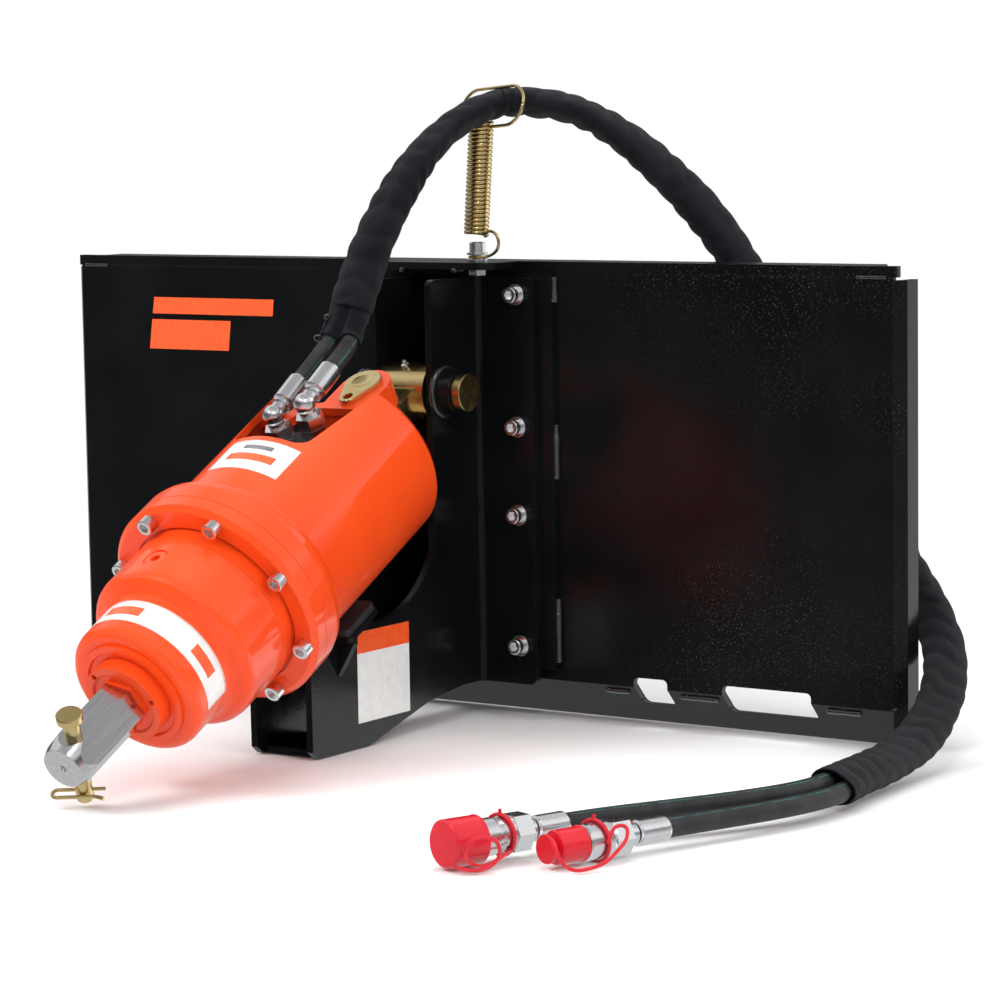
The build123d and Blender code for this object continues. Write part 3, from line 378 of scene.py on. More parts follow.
def hose_rubber(name, line_at):
    """Wrapped hose cover with cloth imprint and a dashed green print line along it."""
    s = Shader(name)
    across, along, _ = s.split(s.add("ShaderNodeTexCoord").outputs["UV"])
    stripe = s.math("LESS_THAN", s.math("ABSOLUTE", s.math("SUBTRACT", across, line_at)), 0.009)
    dash = s.math("LESS_THAN", s.math("FRACT", s.math("MULTIPLY", along, 21.0)), 0.8)
    worn = s.remap(s.noise(500.0, 3.0), 0.38, 0.5)
    line = s.math("MULTIPLY", s.math("MULTIPLY", stripe, dash), worn)
    drift = s.remap(s.noise(60.0, 4.0), 0.3, 0.7)
    base = s.mix(drift, (0.012, 0.012, 0.014), (0.026, 0.026, 0.03))
    s.colour(s.mix(line, base, (0.015, 0.17, 0.12)))
    cloth = s.wave(300.0, "DIAGONAL", 0.6)
    s.rough(s.remap(cloth, 0.0, 1.0, 0.5, 0.65))
    s.relief(cloth, 0.00025, 0.5)
    return s.material


def sleeve_fabric(name):
    """Plain-woven nylon: warp and weft bumps, slight sheen, faded ridges."""
    s = Shader(name)
    uv = s.add("ShaderNodeTexCoord").outputs["UV"]
    scaled = s.stretched((110.0, 900.0, 1.0), uv)
    warp = s.wave(1.0, "X", 0.0, scaled)
    weft = s.wave(1.0, "Y", 0.0, scaled)
    weave = s.math("ADD", warp, weft)
    fuzz = s.noise(1500.0, 3.0)
    drift = s.remap(s.noise(22.0, 5.0), 0.3, 0.75)
    s.colour(s.mix(drift, (0.003, 0.0035, 0.0055), (0.009, 0.0105, 0.0145)))
    s.rough(s.remap(fuzz, 0.3, 0.7, 0.6, 0.82))
    s.set(Sheen_Weight=0.08, Sheen_Roughness=0.4, Specular_IOR_Level=0.2)
    s.relief(s.math("ADD", weave, fuzz), 0.00035, 0.6)
    return s.material


def red_plastic(name):
    """Soft moulded PVC."""
    s = Shader(name)
    drift = s.remap(s.noise(45.0, 3.0), 0.3, 0.7)
    s.colour(s.mix(drift, (0.56, 0.002, 0.012), (0.68, 0.004, 0.022)))
    s.rough(s.remap(s.noise(160.0, 3.0), 0.3, 0.7, 0.3, 0.42))
    s.set(Coat_Weight=0.4, Coat_Roughness=0.12)
    s.relief(s.noise(500.0, 2.0), 0.0002, 0.3, edge=0.0009)
    return s.material


def printed(name, colour, tint):
    """Vinyl print with a slight gloss and faint stain."""
    s = Shader(name)
    s.colour(s.mix(s.remap(s.noise(90.0, 4.0), 0.4, 0.75), colour, tint))
    s.rough(s.remap(s.noise(200.0, 3.0), 0.3, 0.7, 0.25, 0.38))
    s.set(Coat_Weight=0.3, Coat_Roughness=0.15)
    s.relief(s.noise(350.0, 2.0), 0.0001, 0.3)
    return s.material


STEEL = ((0.55, 0.54, 0.56), (0.8, 0.8, 0.82))
ORANGE = (0.84, 0.066, 0.008)
MATERIALS = {
    "black_paint": gloss_paint(
        "black_paint", (0.0025, 0.003, 0.0035), (0.005, 0.0055, 0.006),
        dust=0.3, shine=0.2, coat=0.0, rough=(0.14, 0.24)),
    "orange_paint": gloss_paint(
        "orange_paint", ORANGE, (0.88, 0.078, 0.01),
        dust=0.02, shine=0.2, coat=0.5, rough=(0.3, 0.4)),
    "gold_zinc": plated("gold_zinc", (0.66, 0.5, 0.2), (0.76, 0.62, 0.34), 0.14, 0.28),
    "bright_zinc": plated("bright_zinc", (0.78, 0.79, 0.81), (0.9, 0.9, 0.92), 0.18, 0.32),
    "machined_steel": machined("machined_steel"),
    "dark_steel": plated("dark_steel", (0.2, 0.2, 0.22), (0.32, 0.32, 0.34), 0.3, 0.5),
    "cast_iron": cast("cast_iron", (0.045, 0.045, 0.05)),
    "hose_rubber": hose_rubber("hose_rubber", 0.2),
    "pad_rubber": rubber("pad_rubber", 0.55, 0.75),
    "seal_rubber": rubber("seal_rubber", 0.35, 0.5),
    "sleeve_fabric": sleeve_fabric("sleeve_fabric"),
    "red_plastic": red_plastic("red_plastic"),
}
FRONT_HOSE = hose_rubber("front_hose_rubber", 0.93)
TURNED_GOLD = turned_gold("turned_gold")
SHAFT_STEEL = painted_shaft("painted_shaft", ORANGE)
LABEL_WHITE = printed("label_white", (0.82, 0.82, 0.8), (0.74, 0.74, 0.73))
LABEL_ORANGE = printed("label_orange", (0.9, 0.11, 0.02), (0.83, 0.09, 0.02))
LABEL_GREY = printed("label_grey", (0.16, 0.16, 0.17), (0.24, 0.24, 0.25))
WELD = gloss_paint(
    "weld_paint", (0.004, 0.0045, 0.005), (0.009, 0.0095, 0.01),
    dust=0.2, shine=0.7, coat=1.0, rough=(0.1, 0.2))
SPECIAL = {"frame_pin": TURNED_GOLD, "output_shaft": SHAFT_STEEL}


def paint_cad_nodes():
    """Give every CAD node the material of its record slot, or its own special one."""
    slots = {p["node"]: p["material_slot"] for p in frame["record"]["subparts"]}
    for name, node in NODES.items():
        node.data.materials.clear()
        node.data.materials.append(SPECIAL.get(name, MATERIALS[slots[name]]))


# ---- mesh helpers -----------------------------------------------------------------------------
def new_piece(name, points, faces, material, body=None, uvs=None, smooth=True):
    """Mesh object from points and faces, riding on a body."""
    mesh = bpy.data.meshes.new(name)
    mesh.from_pydata([tuple(p) for p in points], [], faces)
    mesh.materials.append(material)
    if uvs:
        layer = mesh.uv_layers.new(name="UVMap")
        for loop in mesh.loops:
            layer.data[loop.index].uv = uvs[loop.vertex_index]
    mesh.polygons.foreach_set("use_smooth", [smooth] * len(mesh.polygons))
    mesh.update()
    piece = bpy.data.objects.new(name, mesh)
    bpy.context.scene.collection.objects.link(piece)
    if body:
        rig.ride(piece, body)
    return piece


def thicken(piece, name, thickness):
    """Give an open skin a wall on its inner side."""
    wall = piece.modifiers.new(name, "SOLIDIFY")
    wall.thickness = thickness


def spline(waypoints, step):
    """Points every step metres along a natural cubic spline through the waypoints."""
    points = [Vector(p) for p in waypoints]
    knots = [0.0]
    for a, b in zip(points, points[1:]):
        knots.append(knots[-1] + (b - a).length)
    count = len(points)
    second = [Vector((0, 0, 0)) for _ in points]
    right = [Vector((0, 0, 0)) for _ in points]
    upper = [0.0] * count
    for i in range(1, count - 1):
        h0, h1 = knots[i] - knots[i - 1], knots[i + 1] - knots[i]
        rise = (points[i + 1] - points[i]) / h1 - (points[i] - points[i - 1]) / h0
        factor = 2 * (h0 + h1) - h0 * upper[i - 1]
        upper[i] = h1 / factor
        right[i] = (6 * rise - h0 * right[i - 1]) / factor
    for i in range(count - 2, 0, -1):
        second[i] = right[i] - upper[i] * second[i + 1]
    result = []
    steps = max(2, int(round(knots[-1] / step)))
    for n in range(steps + 1):
        t = knots[-1] * n / steps
        i = min(count - 2, max(j for j in range(count - 1) if knots[j] <= t))
        h = knots[i + 1] - knots[i]
        a, b = (knots[i + 1] - t) / h, (t - knots[i]) / h
        bend = ((a**3 - a) * second[i] + (b**3 - b) * second[i + 1]) * h * h / 6
        result.append(a * points[i] + b * points[i + 1] + bend)
    return result


def frames_along(path, first_side):
    """Turning-free (tangent, side, up) frames at every path point."""
    frames = []
    side = Vector(first_side)
    for i, point in enumerate(path):
        ahead = path[min(i + 1, len(path) - 1)] - path[max(i - 1, 0)]
        tangent = ahead.normalized()
        side = (side - side.dot(tangent) * tangent).normalized()
        frames.append((tangent, side.copy(), tangent.cross(side)))
    return frames


def sweep(
    name, path, frames, outline, segments, material, body=None, start=0, end=None, caps=False
):
    """Skin swept along a path; outline(distance, angle) gives (side, up) offsets in metres."""
    end = len(path) - 1 if end is None else end
    points, uvs, faces = [], [], []
    distance = 0.0
    for i in range(end + 1):
        if i:
            distance += (path[i] - path[i - 1]).length
        if i < start:
            continue
        tangent, side, up = frames[i]
        for k in range(segments):
            angle = 2 * math.pi * k / segments
            a, b = outline(distance, angle)
            points.append(path[i] + side * a + up * b)
            uvs.append((k / segments, distance))
    rows = end - start
    for i in range(rows):
        for k in range(segments):
            n = (k + 1) % segments
            low, high = i * segments, (i + 1) * segments
            faces.append((low + k, low + n, high + n, high + k))
    if caps:
        faces.append(tuple(reversed(range(segments))))
        faces.append(tuple(rows * segments + k for k in range(segments)))
    return new_piece(name, points, faces, material, body, uvs)


def round_wire(name, path, radius, material, body, side=(0, 0, 1), segments=14, caps=True):
    """Round wire or hose along a path."""
    def outline(distance, angle):
        return radius * math.cos(angle), radius * math.sin(angle)

    return sweep(name, path, frames_along(path, side), outline, segments, material, body, caps=caps)


def hermite(start, start_dir, end, end_dir, step=0.004, pull=0.9):
    """Points on a cubic curve between two points with end directions."""
    start, end = Vector(start), Vector(end)
    span = (end - start).length * pull
    m0, m1 = Vector(start_dir).normalized() * span, Vector(end_dir).normalized() * span
    count = max(4, int((end - start).length / step))
    result = []
    for n in range(count + 1):
        t = n / count
        a, b = 2 * t**3 - 3 * t**2 + 1, t**3 - 2 * t**2 + t
        c, d = -2 * t**3 + 3 * t**2, t**3 - t**2
        result.append(a * start + b * m0 + c * end + d * m1)
    return result


# ---- hose pair, sleeve and strap --------------------------------------------------------------
WAYPOINTS = [
    (0, -215, 455), (4, -165, 546), (29, -82, 655), (57, -30, 693), (72, -10, 700),
    (113, 12, 699.5), (168, 40, 680), (223, 66, 637), (277, 92, 575), (340, 108, 480),
    (402, 114, 380), (466, 110, 280), (529, 92, 190), (586, 63, 122), (616, 14, 78),
    (632, -60, 42), (640, -150, 26), (645, -240, 23), (652, -300, 23),
]
FILM = 0.00015
SLEEVE_WALL = 0.0012
SLEEVE_SEGMENTS = 72
PATH_STEP = 0.003
HOSE_RADIUS = 0.0099
HOSE_SPACE = 0.0104
PATH = spline([Vector(p) / 1000 for p in WAYPOINTS], PATH_STEP)


def pair_side():
    """Side direction of the hose pair at its start, turned 25 degrees out of level."""
    turn = math.radians(25)
    along = (PATH[1] - PATH[0]).normalized()
    level = (AXIS_X - AXIS_X.dot(along) * along).normalized()
    return level * math.cos(turn) + along.cross(level) * math.sin(turn)


FRAMES = frames_along(PATH, pair_side())
RING_AT = min(range(len(PATH)), key=lambda i: (PATH[i] - Vector((0.068, -0.016, 0.697))).length)


def smooth(value, low, high):
    """Smooth step from 0 at low to 1 at high."""
    t = min(1.0, max(0.0, (value - low) / (high - low)))
    return t * t * (3 - 2 * t)


def level_the_arch():
    """Turn the flat of the hose pair level where it lies on the spring's ring."""
    for i, (tangent, side, up) in enumerate(FRAMES):
        share = smooth(i, RING_AT - 85, RING_AT - 30) * (1 - smooth(i, RING_AT + 22, RING_AT + 95))
        level = tangent.cross(Vector((0, 0, 1))).normalized()
        angle = math.atan2(level.dot(up), level.dot(side))
        if angle > math.pi / 2:
            angle -= math.pi
        if angle < -math.pi / 2:
            angle += math.pi
        angle *= share
        FRAMES[i] = (
            tangent,
            side * math.cos(angle) + up * math.sin(angle),
            up * math.cos(angle) - side * math.sin(angle),
        )


level_the_arch()


def bend_at(index):
    """Direction and size of the path's curvature at a point."""
    low, high = max(index - 6, 0), min(index + 6, len(PATH) - 1)
    a, b, c = PATH[low], PATH[index], PATH[high]
    return (a + c) / 2 - b


BENDS = [bend_at(i) for i in range(len(PATH))]


def sleeve_outline(distance, angle):
    """Flattened tube with diagonal gathers, deepest on the inside of bends."""
    index = min(len(PATH) - 1, int(distance / PATH_STEP))
    _, side, up = FRAMES[index]
    outward = side * math.cos(angle) + up * math.sin(angle)
    inside = min(1.0, max(0.0, outward.dot(BENDS[index]) / 0.0012))
    gather = smooth(distance, 0.27, 0.34) * (1 - smooth(distance, 0.66, 0.78))
    round_about = Vector((math.cos(angle), math.sin(angle), 0.0))
    slow = noise.noise(Vector((distance * 11, *(round_about * 0.9).xy)))
    warp = noise.noise(Vector((distance * 9, *(round_about * 0.8).xy))) * 2.4
    scallop = abs(math.sin(math.pi * distance / 0.027 + warp + 0.8 * math.sin(angle))) ** 0.8 - 0.6
    mask = smooth(noise.noise(Vector((distance * 17 + 5, *(round_about * 1.2).xy))), -0.25, 0.35)
    fine = noise.noise(Vector((distance * 60, *(round_about * 1.8).xy)))
    depth = 0.0012 + 0.0012 * mask + 0.0022 * gather * inside
    grow = slow * 0.0024 + scallop * depth + fine * 0.0007
    narrow = 0.0012 * smooth(0.03 - distance, 0.0, 0.03)
    return (0.0236 + grow - narrow) * math.cos(angle), (0.0158 + grow) * math.sin(angle)


def hem_outline(distance, angle):
    """Sewn end hem, a little fatter than the sleeve."""
    a, b = sleeve_outline(distance, angle)
    return a * 1.03, b * 1.05


def make_sleeve():
    """Sleeve in two parts that meet at the spring's ring, and the hem at its front end."""
    last = len(PATH) - 1
    split = RING_AT + 4

    def part(name, outline, body, start, end):
        return sweep(
            name, PATH, FRAMES, outline, SLEEVE_SEGMENTS, MATERIALS["sleeve_fabric"],
            body, start, end)

    rear = part("sleeve_rear", sleeve_outline, None, 8, split)
    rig.blend(rear, "knuckle", "frame", PATH[14], PATH[RING_AT - 6])
    front = part("sleeve_front", sleeve_outline, "frame", split - 1, last)
    hem = part("sleeve_hem", hem_outline, "frame", last - 5, last)
    for piece in (rear, front, hem):
        thicken(piece, "wall", SLEEVE_WALL)
        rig.slot(piece, "sleeve_fabric")
    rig.replaces(rear, "hose_sleeve")
    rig.replaces(front, "hose_sleeve")


def hose_offset(index, side):
    """Centre of one hose of the pair."""
    _, across, _ = FRAMES[index]
    return PATH[index] + across * side * HOSE_SPACE


def cuff_outline(radius):
    """Small gathered fabric tube round one hose."""
    def outline(distance, angle):
        place = (distance * 90, math.cos(angle) * 1.4 + radius * 900, math.sin(angle) * 1.4)
        gather = noise.noise(Vector(place))
        grow = radius + gather * 0.0013
        return grow * math.cos(angle), grow * math.sin(angle)

    return outline


def make_cuff(name, lead, start, end):
    """Tail of the sleeve: a fabric cuff on one hose where the pair parts."""
    path = lead[-18:]
    frames = frames_along(path, (0, 0, 1))
    fabric = MATERIALS["sleeve_fabric"]
    cuff = sweep(f"sleeve_cuff_{name}", path, frames, cuff_outline(0.0122), 36, fabric)
    thicken(cuff, "wall", SLEEVE_WALL)
    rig.blend(cuff, "drive", "knuckle", start, end)
    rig.slot(cuff, "sleeve_fabric")


def make_tail_strap(lead, start, end):
    """Strap with a metal loop at each end along the left cuff."""
    left, near = Vector((-0.83, -0.56, 0)), Vector((0.558, -0.822, 0.113))
    path = spline([
        lead[-n] + left * out / 1000 + near * 0.003
        for n, out in ((8, 8.5), (11, 12.5), (14, 13.2), (18, 12.8))], 0.0015)

    def outline(distance, angle):
        width = 0.0072 - 0.002 * smooth(distance, 0.0, 0.03)
        return width * math.cos(angle), 0.0011 * math.sin(angle)

    strap = sweep(
        "sleeve_strap", path, frames_along(path, (0.5, -0.5, 0.2)), outline, 20,
        MATERIALS["sleeve_fabric"], caps=True)
    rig.blend(strap, "drive", "knuckle", start, end)
    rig.slot(strap, "sleeve_fabric")
    for number, at in ((1, path[2]), (2, path[-2])):
        loop = []
        for n in range(25):
            a = 2 * math.pi * n / 24
            rise = Vector((0, -0.0012, 0.0034)) * math.sin(a)
            loop.append(at + left * 0.0052 * math.cos(a) + rise)
        ring = round_wire(
            f"strap_loop_{number}", loop, 0.0009, MATERIALS["dark_steel"], None, near, 10)
        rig.blend(ring, "drive", "knuckle", start, end)
        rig.slot(ring, "dark_steel")


def make_hoses():
    """Hose leads at both ends, running a little way into the sleeve."""
    for side, name, ball, coupler in (
        (-1, "left", 99.0, male_point(143.2)), (1, "right", 116.4, female_point(141.2)),
    ):
        rise = math.radians(8.5)
        out = (AXIS_X * 0.04 + AXIS_H * math.sin(rise) - AXIS_S * math.cos(rise)).normalized()
        start = motor_point(side * 24.5, ball, 206) + out * 0.0565
        parting = hose_offset(0, side)
        lead = hermite(start, out, parting, FRAMES[0][0], PATH_STEP)
        lead += [hose_offset(i, side) for i in range(1, 13)]
        piece = round_wire(
            f"hose_rear_{name}", lead, HOSE_RADIUS, MATERIALS["hose_rubber"], None, segments=28)
        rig.blend(piece, "drive", "knuckle", start, parting)
        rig.slot(piece, "hose_rubber")
        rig.replaces(piece, "hoses")
        make_cuff(name, lead, start, parting)
        if side < 0:
            make_tail_strap(lead, start, parting)
        last = len(PATH) - 1
        run = [hose_offset(i, side) for i in range(last - 22, last + 1)]
        leaving = hose_offset(last, side)
        run += hermite(leaving, FRAMES[last][0], coupler, -COUPLER_AXIS, PATH_STEP)[1:]
        piece = round_wire(
            f"hose_front_{name}", run, HOSE_RADIUS, FRONT_HOSE, "frame", segments=28)
        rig.slot(piece, "hose_rubber")


# ---- couplers ---------------------------------------------------------------------------------
COUPLER_AXIS = Vector((0.32, 0.947, 0.0)).normalized()
COUPLER_SIDE = Vector((COUPLER_AXIS.y, -COUPLER_AXIS.x, 0.0))
FEMALE = Vector((0.4727, -0.7143, 0.024))
MALE = Vector((0.5517, -0.6644, 0.0185))


def female_point(along, side=0.0, up=0.0):
    return FEMALE + (COUPLER_AXIS * along + COUPLER_SIDE * side + Vector((0, 0, up))) / 1000


def male_point(along, side=0.0, up=0.0):
    return MALE + (COUPLER_AXIS * along + COUPLER_SIDE * side + Vector((0, 0, up))) / 1000


def make_tether(name, place, ring_at, ring_radius, loop, cap):
    """Moulded tether: a ring round the coupler and a loop of cord from the cap to the ring."""
    red = MATERIALS["red_plastic"]
    ring = []
    for n in range(73):
        a = 2 * math.pi * n / 72
        tilt = ring_at + 2.5 * math.cos(a)
        ring.append(place(tilt, ring_radius * math.cos(a), ring_radius * math.sin(a)))
    band = round_wire(f"{name}_ring", ring, 0.0019, red, "frame", COUPLER_AXIS, 16)
    nub = [place(ring_at, 0, ring_radius + rise) for rise in (0.0, 2.0, 4.0, 5.2)]
    knob = round_wire(f"{name}_nub", nub, 0.0017, red, "frame", COUPLER_AXIS, 12)
    run = spline([place(*p) for p in loop], 0.0015)
    cord = round_wire(f"{name}_cord", run, 0.0018, red, None, segments=14)
    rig.blend(cord, cap, "frame", place(10), place(ring_at))
    for piece in (band, knob, cord):
        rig.slot(piece, "red_plastic")
        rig.replaces(piece, "cap_tethers")


def make_tethers():
    """Loops in (along, side, up) millimetres of each coupler."""
    make_tether("cap_tether", female_point, 66, 19.2, (
        (-2, 19, -17), (10, 29, -21), (24, 36, -19), (35, 39, -9), (33, 39, 3), (21, 36, 10),
        (8, 33, 7), (3, 30, -4), (10, 28, -14), (24, 26, -19), (42, 23, -18), (58, 19, -14),
        (66, 15, -12)), "dust_cap")
    make_tether("plug_tether", male_point, 58, 19.8, (
        (-2, 11, 13), (-3, 20, 4), (1, 25, -9), (9, 30, -15.5), (22, 34, -16), (42, 36, -12),
        (61, 34, -2), (75, 28, 8), (77, 23, 14), (70, 19, 15), (62, 19.5, 8),
        (58, 19.8, 0)), "dust_plug")


# ---- hose spring ------------------------------------------------------------------------------
def make_spring():
    """Close-wound coils, foot hook and the oval ring that holds the sleeve."""
    gold = MATERIALS["gold_zinc"]
    lean = math.radians(4.2)
    foot = Vector((0.044, -0.020, 0.552))
    up = Vector((math.sin(lean), 0, math.cos(lean)))
    out = Vector((math.cos(lean), 0, -math.sin(lean)))
    back = Vector((0, 1, 0))
    length, pitch, wire, radius = 0.128, 0.0047, 0.0023, 0.0121
    turns = length / pitch
    coil = []
    for n in range(int(turns * 28) + 1):
        a = 2 * math.pi * n / 28
        turn = out * math.cos(a) + back * math.sin(a)
        coil.append(foot + up * (pitch * n / 28) + turn * radius)
    hook = spline([Vector(p) / 1000 for p in (
        (54.6, -20, 551), (59, -20, 555.5), (68, -20, 555), (74, -20, 547), (73, -20, 537),
        (66, -20.5, 530.5), (58, -23, 527.4), (51, -27, 527), (45, -28.6, 527), (39, -26, 527),
        (36.6, -20, 527), (39, -14.5, 527))], 0.0012)
    centre = Vector((0.065, -0.015, 0.6955))
    normal = Vector((0.2, 0.9, -0.3))
    along = Vector((0.97, -0.22, 0.07)).normalized()
    normal = (normal - normal.dot(along) * along).normalized()
    across = normal.cross(along)
    bow, straight = 0.0232, 0.0275
    ring = []
    for n in range(97):
        a = 2 * math.pi * n / 96
        shift = straight if math.cos(a) > 0 else -straight
        ring.append(centre + along * (shift + bow * math.cos(a)) + across * bow * math.sin(a))
    pieces = [
        round_wire("spring_coil", coil, wire, gold, "frame", up, 12),
        round_wire("spring_hook", hook, 0.0018, gold, "frame", out, 12),
        round_wire("spring_ring", ring, 0.0019, gold, "frame", normal, 12),
    ]
    for piece in pieces:
        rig.slot(piece, "gold_zinc")
    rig.replaces(pieces[0], "hose_spring")


# ---- labels -----------------------------------------------------------------------------------
def wrapped_patch(name, radius, s_range, angle_range, material):
    """Thin curved patch on a cylinder about the motor axis."""
    rows, columns = 8, max(6, int(abs(angle_range[1] - angle_range[0]) / 2.5))
    points, faces = [], []
    for i in range(rows + 1):
        for k in range(columns + 1):
            f, g = i / rows, k / columns
            s = s_range[0] + (s_range[1] - s_range[0]) * f
            a = angle_range[0] + (angle_range[1] - angle_range[0]) * g
            points.append(around(radius, a, s))
    for i in range(rows):
        for k in range(columns):
            a = i * (columns + 1) + k
            faces.append((a, a + 1, a + columns + 2, a + columns + 1))
    thicken(new_piece(name, points, faces, material, "drive"), "film", FILM)


def flat_patch(name, corners, lift, material):
    """Thin flat four-cornered film lifted off a face."""
    points = [Vector(c) / 1000 + Vector(lift) for c in corners]
    piece = new_piece(name, points, [(0, 1, 2, 3)], material, "frame", smooth=False)
    thicken(piece, "film", FILM)


def make_labels():
    """Plain vinyl patches in place of the maker's prints: blocks of colour, no lettering."""
    wrapped_patch("nose_band", 77.15, (516.5, 550), (-24, 152), LABEL_WHITE)
    wrapped_patch("nose_bar_1", 77.35, (527, 540), (2, 28), LABEL_ORANGE)
    wrapped_patch("nose_bar_2", 77.35, (527, 540), (78, 112), LABEL_ORANGE)
    wrapped_patch("hood_label", 108.15, (266, 318), (61.5, 110), LABEL_WHITE)
    wrapped_patch("hood_label_bar_1", 108.35, (290, 302), (70, 102), LABEL_ORANGE)
    wrapped_patch("hood_label_bar_2", 108.35, (275, 282), (76, 96), LABEL_GREY)
    front, outer = (0, -0.0002, 0), (0.0002, 0, 0)
    for name, corners, lift, material in (
        ("plate_bar_1", ((-448, 0, 472), (-264, 0, 472), (-266, 0, 452), (-451, 0, 452)),
         front, LABEL_ORANGE),
        ("plate_bar_2", ((-452, 0, 445), (-330, 0, 445), (-334, 0, 409), (-457, 0, 409)),
         front, LABEL_ORANGE),
        ("boot_label", ((42, -260, 27), (42, -163, 27), (42, -163, 128), (42, -260, 128)),
         outer, LABEL_WHITE),
        ("boot_label_band",
         ((42.2, -260, 104), (42.2, -163, 104), (42.2, -163, 128), (42.2, -260, 128)),
         outer, LABEL_ORANGE),
    ):
        flat_patch(name, corners, lift, material)


# ---- welds ------------------------------------------------------------------------------------
def weld(name, path, radius):
    """Painted weld bead: a low ridge of overlapping ripples."""
    def outline(distance, angle):
        ripple = abs(math.sin(math.pi * distance / 0.003))
        wobble = noise.noise(Vector((distance * 80, path[0].x * 40, path[0].z * 40)))
        size = radius * (0.82 + 0.2 * ripple + 0.25 * wobble)
        return size * math.cos(angle), size * math.sin(angle)

    frames = frames_along(path, (0.3, -0.5, 0.8))
    bead = sweep(name, path, frames, outline, 12, WELD, "frame", caps=True)
    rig.slot(bead, "black_paint")


def straight(a, b, step=0.0008):
    """Points on a straight line between two points in millimetres."""
    a, b = Vector(a) / 1000, Vector(b) / 1000
    count = max(2, int((b - a).length / step))
    return [a.lerp(b, n / count) for n in range(count + 1)]


def make_welds():
    """Stitch welds of the bars, lip and rail, and the bead round each pin boss."""
    for side, name in ((-1, "left"), (1, "right")):
        def bead(kind, start, end, radius):
            weld(f"{kind}_{name}", straight(
                (start[0] * side, *start[1:]), (end[0] * side, *end[1:])), radius)

        def stitches(kind, runs, ends, radius):
            for number, (low, high) in enumerate(runs, 1):
                start, end = ends(low, high)
                weld(f"{kind}_{name}_{number}", straight(start, end), radius)

        stitches(
            "bar_weld", ((66, 139), (276, 338), (476, 505)),
            lambda low, high: ((137 * side, -2.2, low), (137 * side, -2.2, high)), 0.0046)
        stitches(
            "lip_weld", ((196, 226), (294, 342), (480, 520)),
            lambda low, high: ((low * side, 6, 38), (high * side, 6, 38)), 0.0032)
        bead("corner_weld", (562, 1.5, 49), (562, 30, 18), 0.003)
        bead("rail_weld", (520, -0.6, 510), (556, -0.6, 510), 0.0022)
        bead("tab_weld", (36, -56, 513), (36, -40, 513), 0.0034)
        boss = []
        for n in range(181):
            a = 2 * math.pi * n / 180
            offset = Vector((0.0432 * side, 0.0262 * math.cos(a), 0.0262 * math.sin(a)))
            boss.append(Vector((0, PIN.y, PIN.z)) + offset)
        weld(f"boss_weld_{name}", boss, 0.0042)


# ---- stage ------------------------------------------------------------------------------------
def make_camera():
    data = bpy.data.cameras.new("camera")
    data.lens = 124.36
    data.sensor_width = 36.0
    data.clip_end = 50.0
    camera = bpy.data.objects.new("camera", data)
    bpy.context.scene.collection.objects.link(camera)
    azimuth, elevation, roll = math.radians(34.15), math.radians(6.46), -0.0155
    right = Vector((math.cos(azimuth), math.sin(azimuth), 0))
    up = Vector((
        -math.sin(azimuth) * math.sin(elevation),
        math.cos(azimuth) * math.sin(elevation),
        math.cos(elevation),
    ))
    turned_right = right * math.cos(roll) + up * math.sin(roll)
    turned_up = up * math.cos(roll) - right * math.sin(roll)
    back = turned_right.cross(turned_up)
    target = Vector((0.0573, 0.0, 0.2479))
    place = Matrix.Identity(4)
    for row in range(3):
        place[row][0] = turned_right[row]
        place[row][1] = turned_up[row]
        place[row][2] = back[row]
        place[row][3] = (target + back * 3.963)[row]
    camera.matrix_world = place
    bpy.context.scene.camera = camera


def make_light(name, location, target, size, power, mirrored):
    data = bpy.data.lights.new(name, "AREA")
    data.shape = "RECTANGLE"
    data.size, data.size_y = size
    data.energy = power
    lamp = bpy.data.objects.new(name, data)
    lamp.location = location
    lamp.rotation_euler = (Vector(target) - Vector(location)).to_track_quat("-Z", "Y").to_euler()
    lamp.visible_glossy = mirrored
    bpy.context.scene.collection.objects.link(lamp)


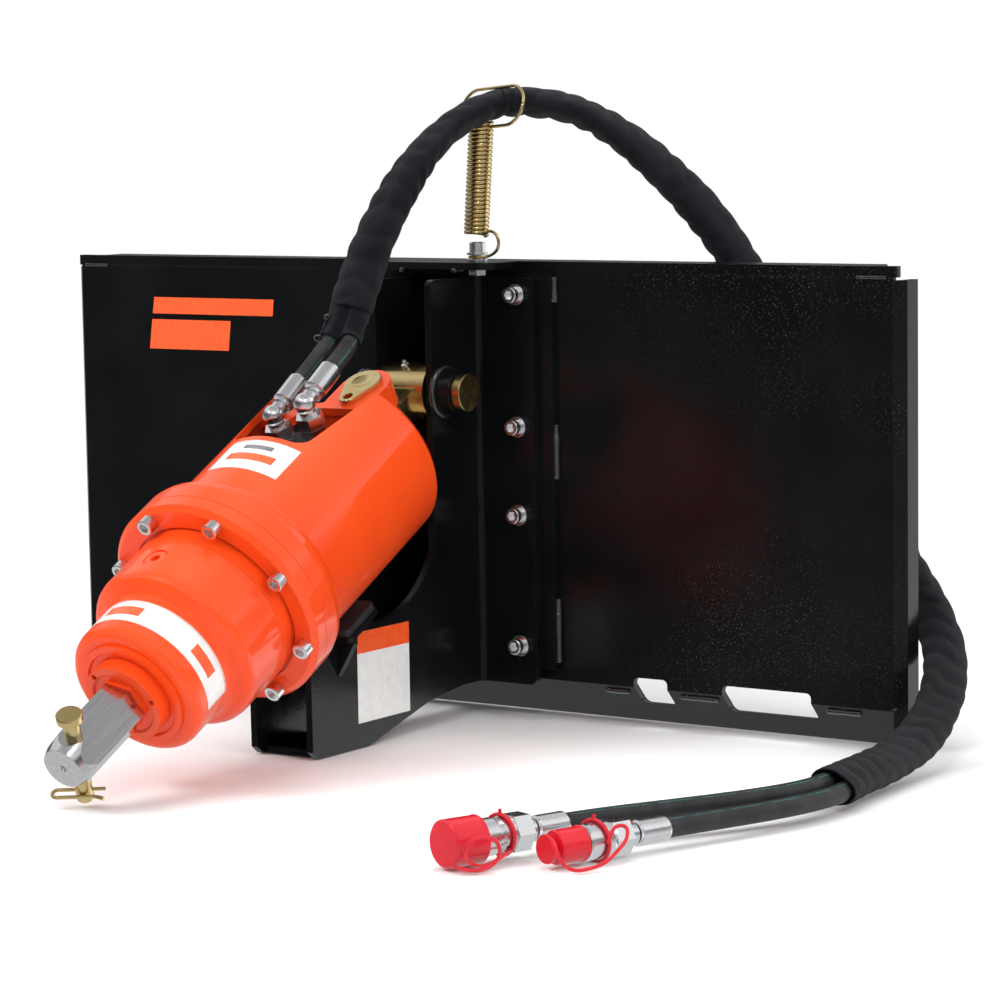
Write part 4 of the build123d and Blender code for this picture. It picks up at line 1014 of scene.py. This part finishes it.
def make_stage():
    mesh = bpy.data.meshes.new("floor")
    half = 30.0
    corners = [(-half, -half, 0), (half, -half, 0), (half, half, 0), (-half, half, 0)]
    mesh.from_pydata(corners, [], [(0, 1, 2, 3)])
    floor = bpy.data.objects.new("floor", mesh)
    bpy.context.scene.collection.objects.link(floor)
    floor.location.z = -0.0015
    floor.visible_glossy = False
    s = Shader("floor_white")
    s.colour(s.mix(s.remap(s.noise(2.0, 2.0), 0.3, 0.7), (0.9, 0.9, 0.9), (0.93, 0.93, 0.93)))
    s.set(Roughness=0.9, Specular_IOR_Level=0.0)
    x, y, _ = s.split()
    reach = s.math("SQRT", s.math("ADD", s.math("MULTIPLY", x, x), s.math("MULTIPLY", y, y)))
    glow = s.add("ShaderNodeEmission")
    blend = s.add("ShaderNodeMixShader")
    s.link(s.remap(reach, 0.9, 2.2), blend.inputs["Fac"])
    s.link(s.surface.outputs["BSDF"], blend.inputs[1])
    s.link(glow.outputs["Emission"], blend.inputs[2])
    s.link(blend.outputs["Shader"], s.tree.nodes["Material Output"].inputs["Surface"])
    mesh.materials.append(s.material)
    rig.stage(floor)

    world = bpy.data.worlds.new("world")
    bpy.context.scene.world = world
    world.use_nodes = True
    tree = world.node_tree
    tree.nodes.clear()

    def add(kind, **values):
        node = tree.nodes.new(kind)
        for key, value in values.items():
            setattr(node, key, value)
        return node

    coords = add("ShaderNodeTexCoord")
    parts = add("ShaderNodeSeparateXYZ")
    tree.links.new(coords.outputs["Generated"], parts.inputs["Vector"])
    height = add("ShaderNodeMapRange")
    height.inputs["From Min"].default_value = -1.0
    tree.links.new(parts.outputs["Z"], height.inputs["Value"])
    rise = add("ShaderNodeValToRGB")
    stops = (
        (0.0, 0.9), (0.34, 0.75), (0.47, 0.42), (0.56, 0.16), (0.64, 0.2), (0.7, 0.95), (0.86, 1.0),
        (0.93, 0.5))
    ramp = rise.color_ramp.elements
    for _ in stops[2:]:
        ramp.new(0.5)
    for stop, (place, level) in zip(ramp, stops):
        stop.position = place
        stop.color = (level, level, level, 1.0)
    tree.links.new(height.outputs["Result"], rise.inputs["Fac"])

    def toward(direction, low, high, low_gain, high_gain):
        """Gain that grows towards one direction of the surroundings."""
        dot = add("ShaderNodeVectorMath", operation="DOT_PRODUCT")
        dot.inputs[1].default_value = Vector(direction).normalized()
        tree.links.new(coords.outputs["Generated"], dot.inputs[0])
        gain = add("ShaderNodeMapRange", interpolation_type="SMOOTHSTEP")
        for key, number in zip(
            ("From Min", "From Max", "To Min", "To Max"), (low, high, low_gain, high_gain)
        ):
            gain.inputs[key].default_value = number
        tree.links.new(dot.outputs["Value"], gain.inputs["Value"])
        return gain.outputs["Result"]

    def product(a, b):
        node = add("ShaderNodeMath", operation="MULTIPLY")
        tree.links.new(a, node.inputs[0])
        tree.links.new(b, node.inputs[1])
        return node.outputs["Value"]

    shade = toward((-0.56, -0.83, 0.0), 0.6, 0.95, 1.0, 0.3)
    flare = toward((0.56, 0.83, 0.05), 0.75, 0.98, 1.0, 3.4)
    level = product(product(rise.outputs["Color"], shade), flare)
    rays = add("ShaderNodeLightPath")
    soft = add("ShaderNodeBackground")
    soft.inputs["Strength"].default_value = 0.8
    glossy = add("ShaderNodeBackground")
    tree.links.new(level, glossy.inputs["Strength"])
    seen = add("ShaderNodeBackground")
    seen.inputs["Color"].default_value = (1, 1, 1, 1)
    seen.inputs["Strength"].default_value = 1.0
    first = add("ShaderNodeMixShader")
    tree.links.new(rays.outputs["Is Glossy Ray"], first.inputs["Fac"])
    tree.links.new(soft.outputs["Background"], first.inputs[1])
    tree.links.new(glossy.outputs["Background"], first.inputs[2])
    second = add("ShaderNodeMixShader")
    tree.links.new(rays.outputs["Is Camera Ray"], second.inputs["Fac"])
    tree.links.new(first.outputs["Shader"], second.inputs[1])
    tree.links.new(seen.outputs["Background"], second.inputs[2])
    out = add("ShaderNodeOutputWorld")
    tree.links.new(second.outputs["Shader"], out.inputs["Surface"])

    make_light("key", (-1.6, -2.2, 2.4), (0, -0.2, 0.3), (1.6, 1.2), 55, False)
    make_light("right", (2.6, -0.9, 1.6), (0, -0.2, 0.3), (0.8, 1.8), 26, False)
    make_light("top", (0.0, 0.3, 3.0), (0, 0, 0.2), (2.4, 1.4), 45, False)
    make_light("strip", (-0.9, -2.4, 2.3), (0, -0.4, 0.3), (1.0, 0.08), 8, True)
    make_light("glint", (1.4, -2.0, 2.2), (0, -0.1, 0.3), (0.12, 0.12), 8, True)


paint_cad_nodes()
make_sleeve()
make_hoses()
make_tethers()
make_spring()
make_labels()
make_welds()
make_camera()
make_stage()
bpy.context.scene.view_settings.view_transform = "Standard"

bpy.context.view_layer.update()
with open("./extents.json", "w") as file:
    json.dump({
        "cad": [list(corner) for corner in cad_box],
        "visual": [list(corner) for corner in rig.bounds()],
    }, file)
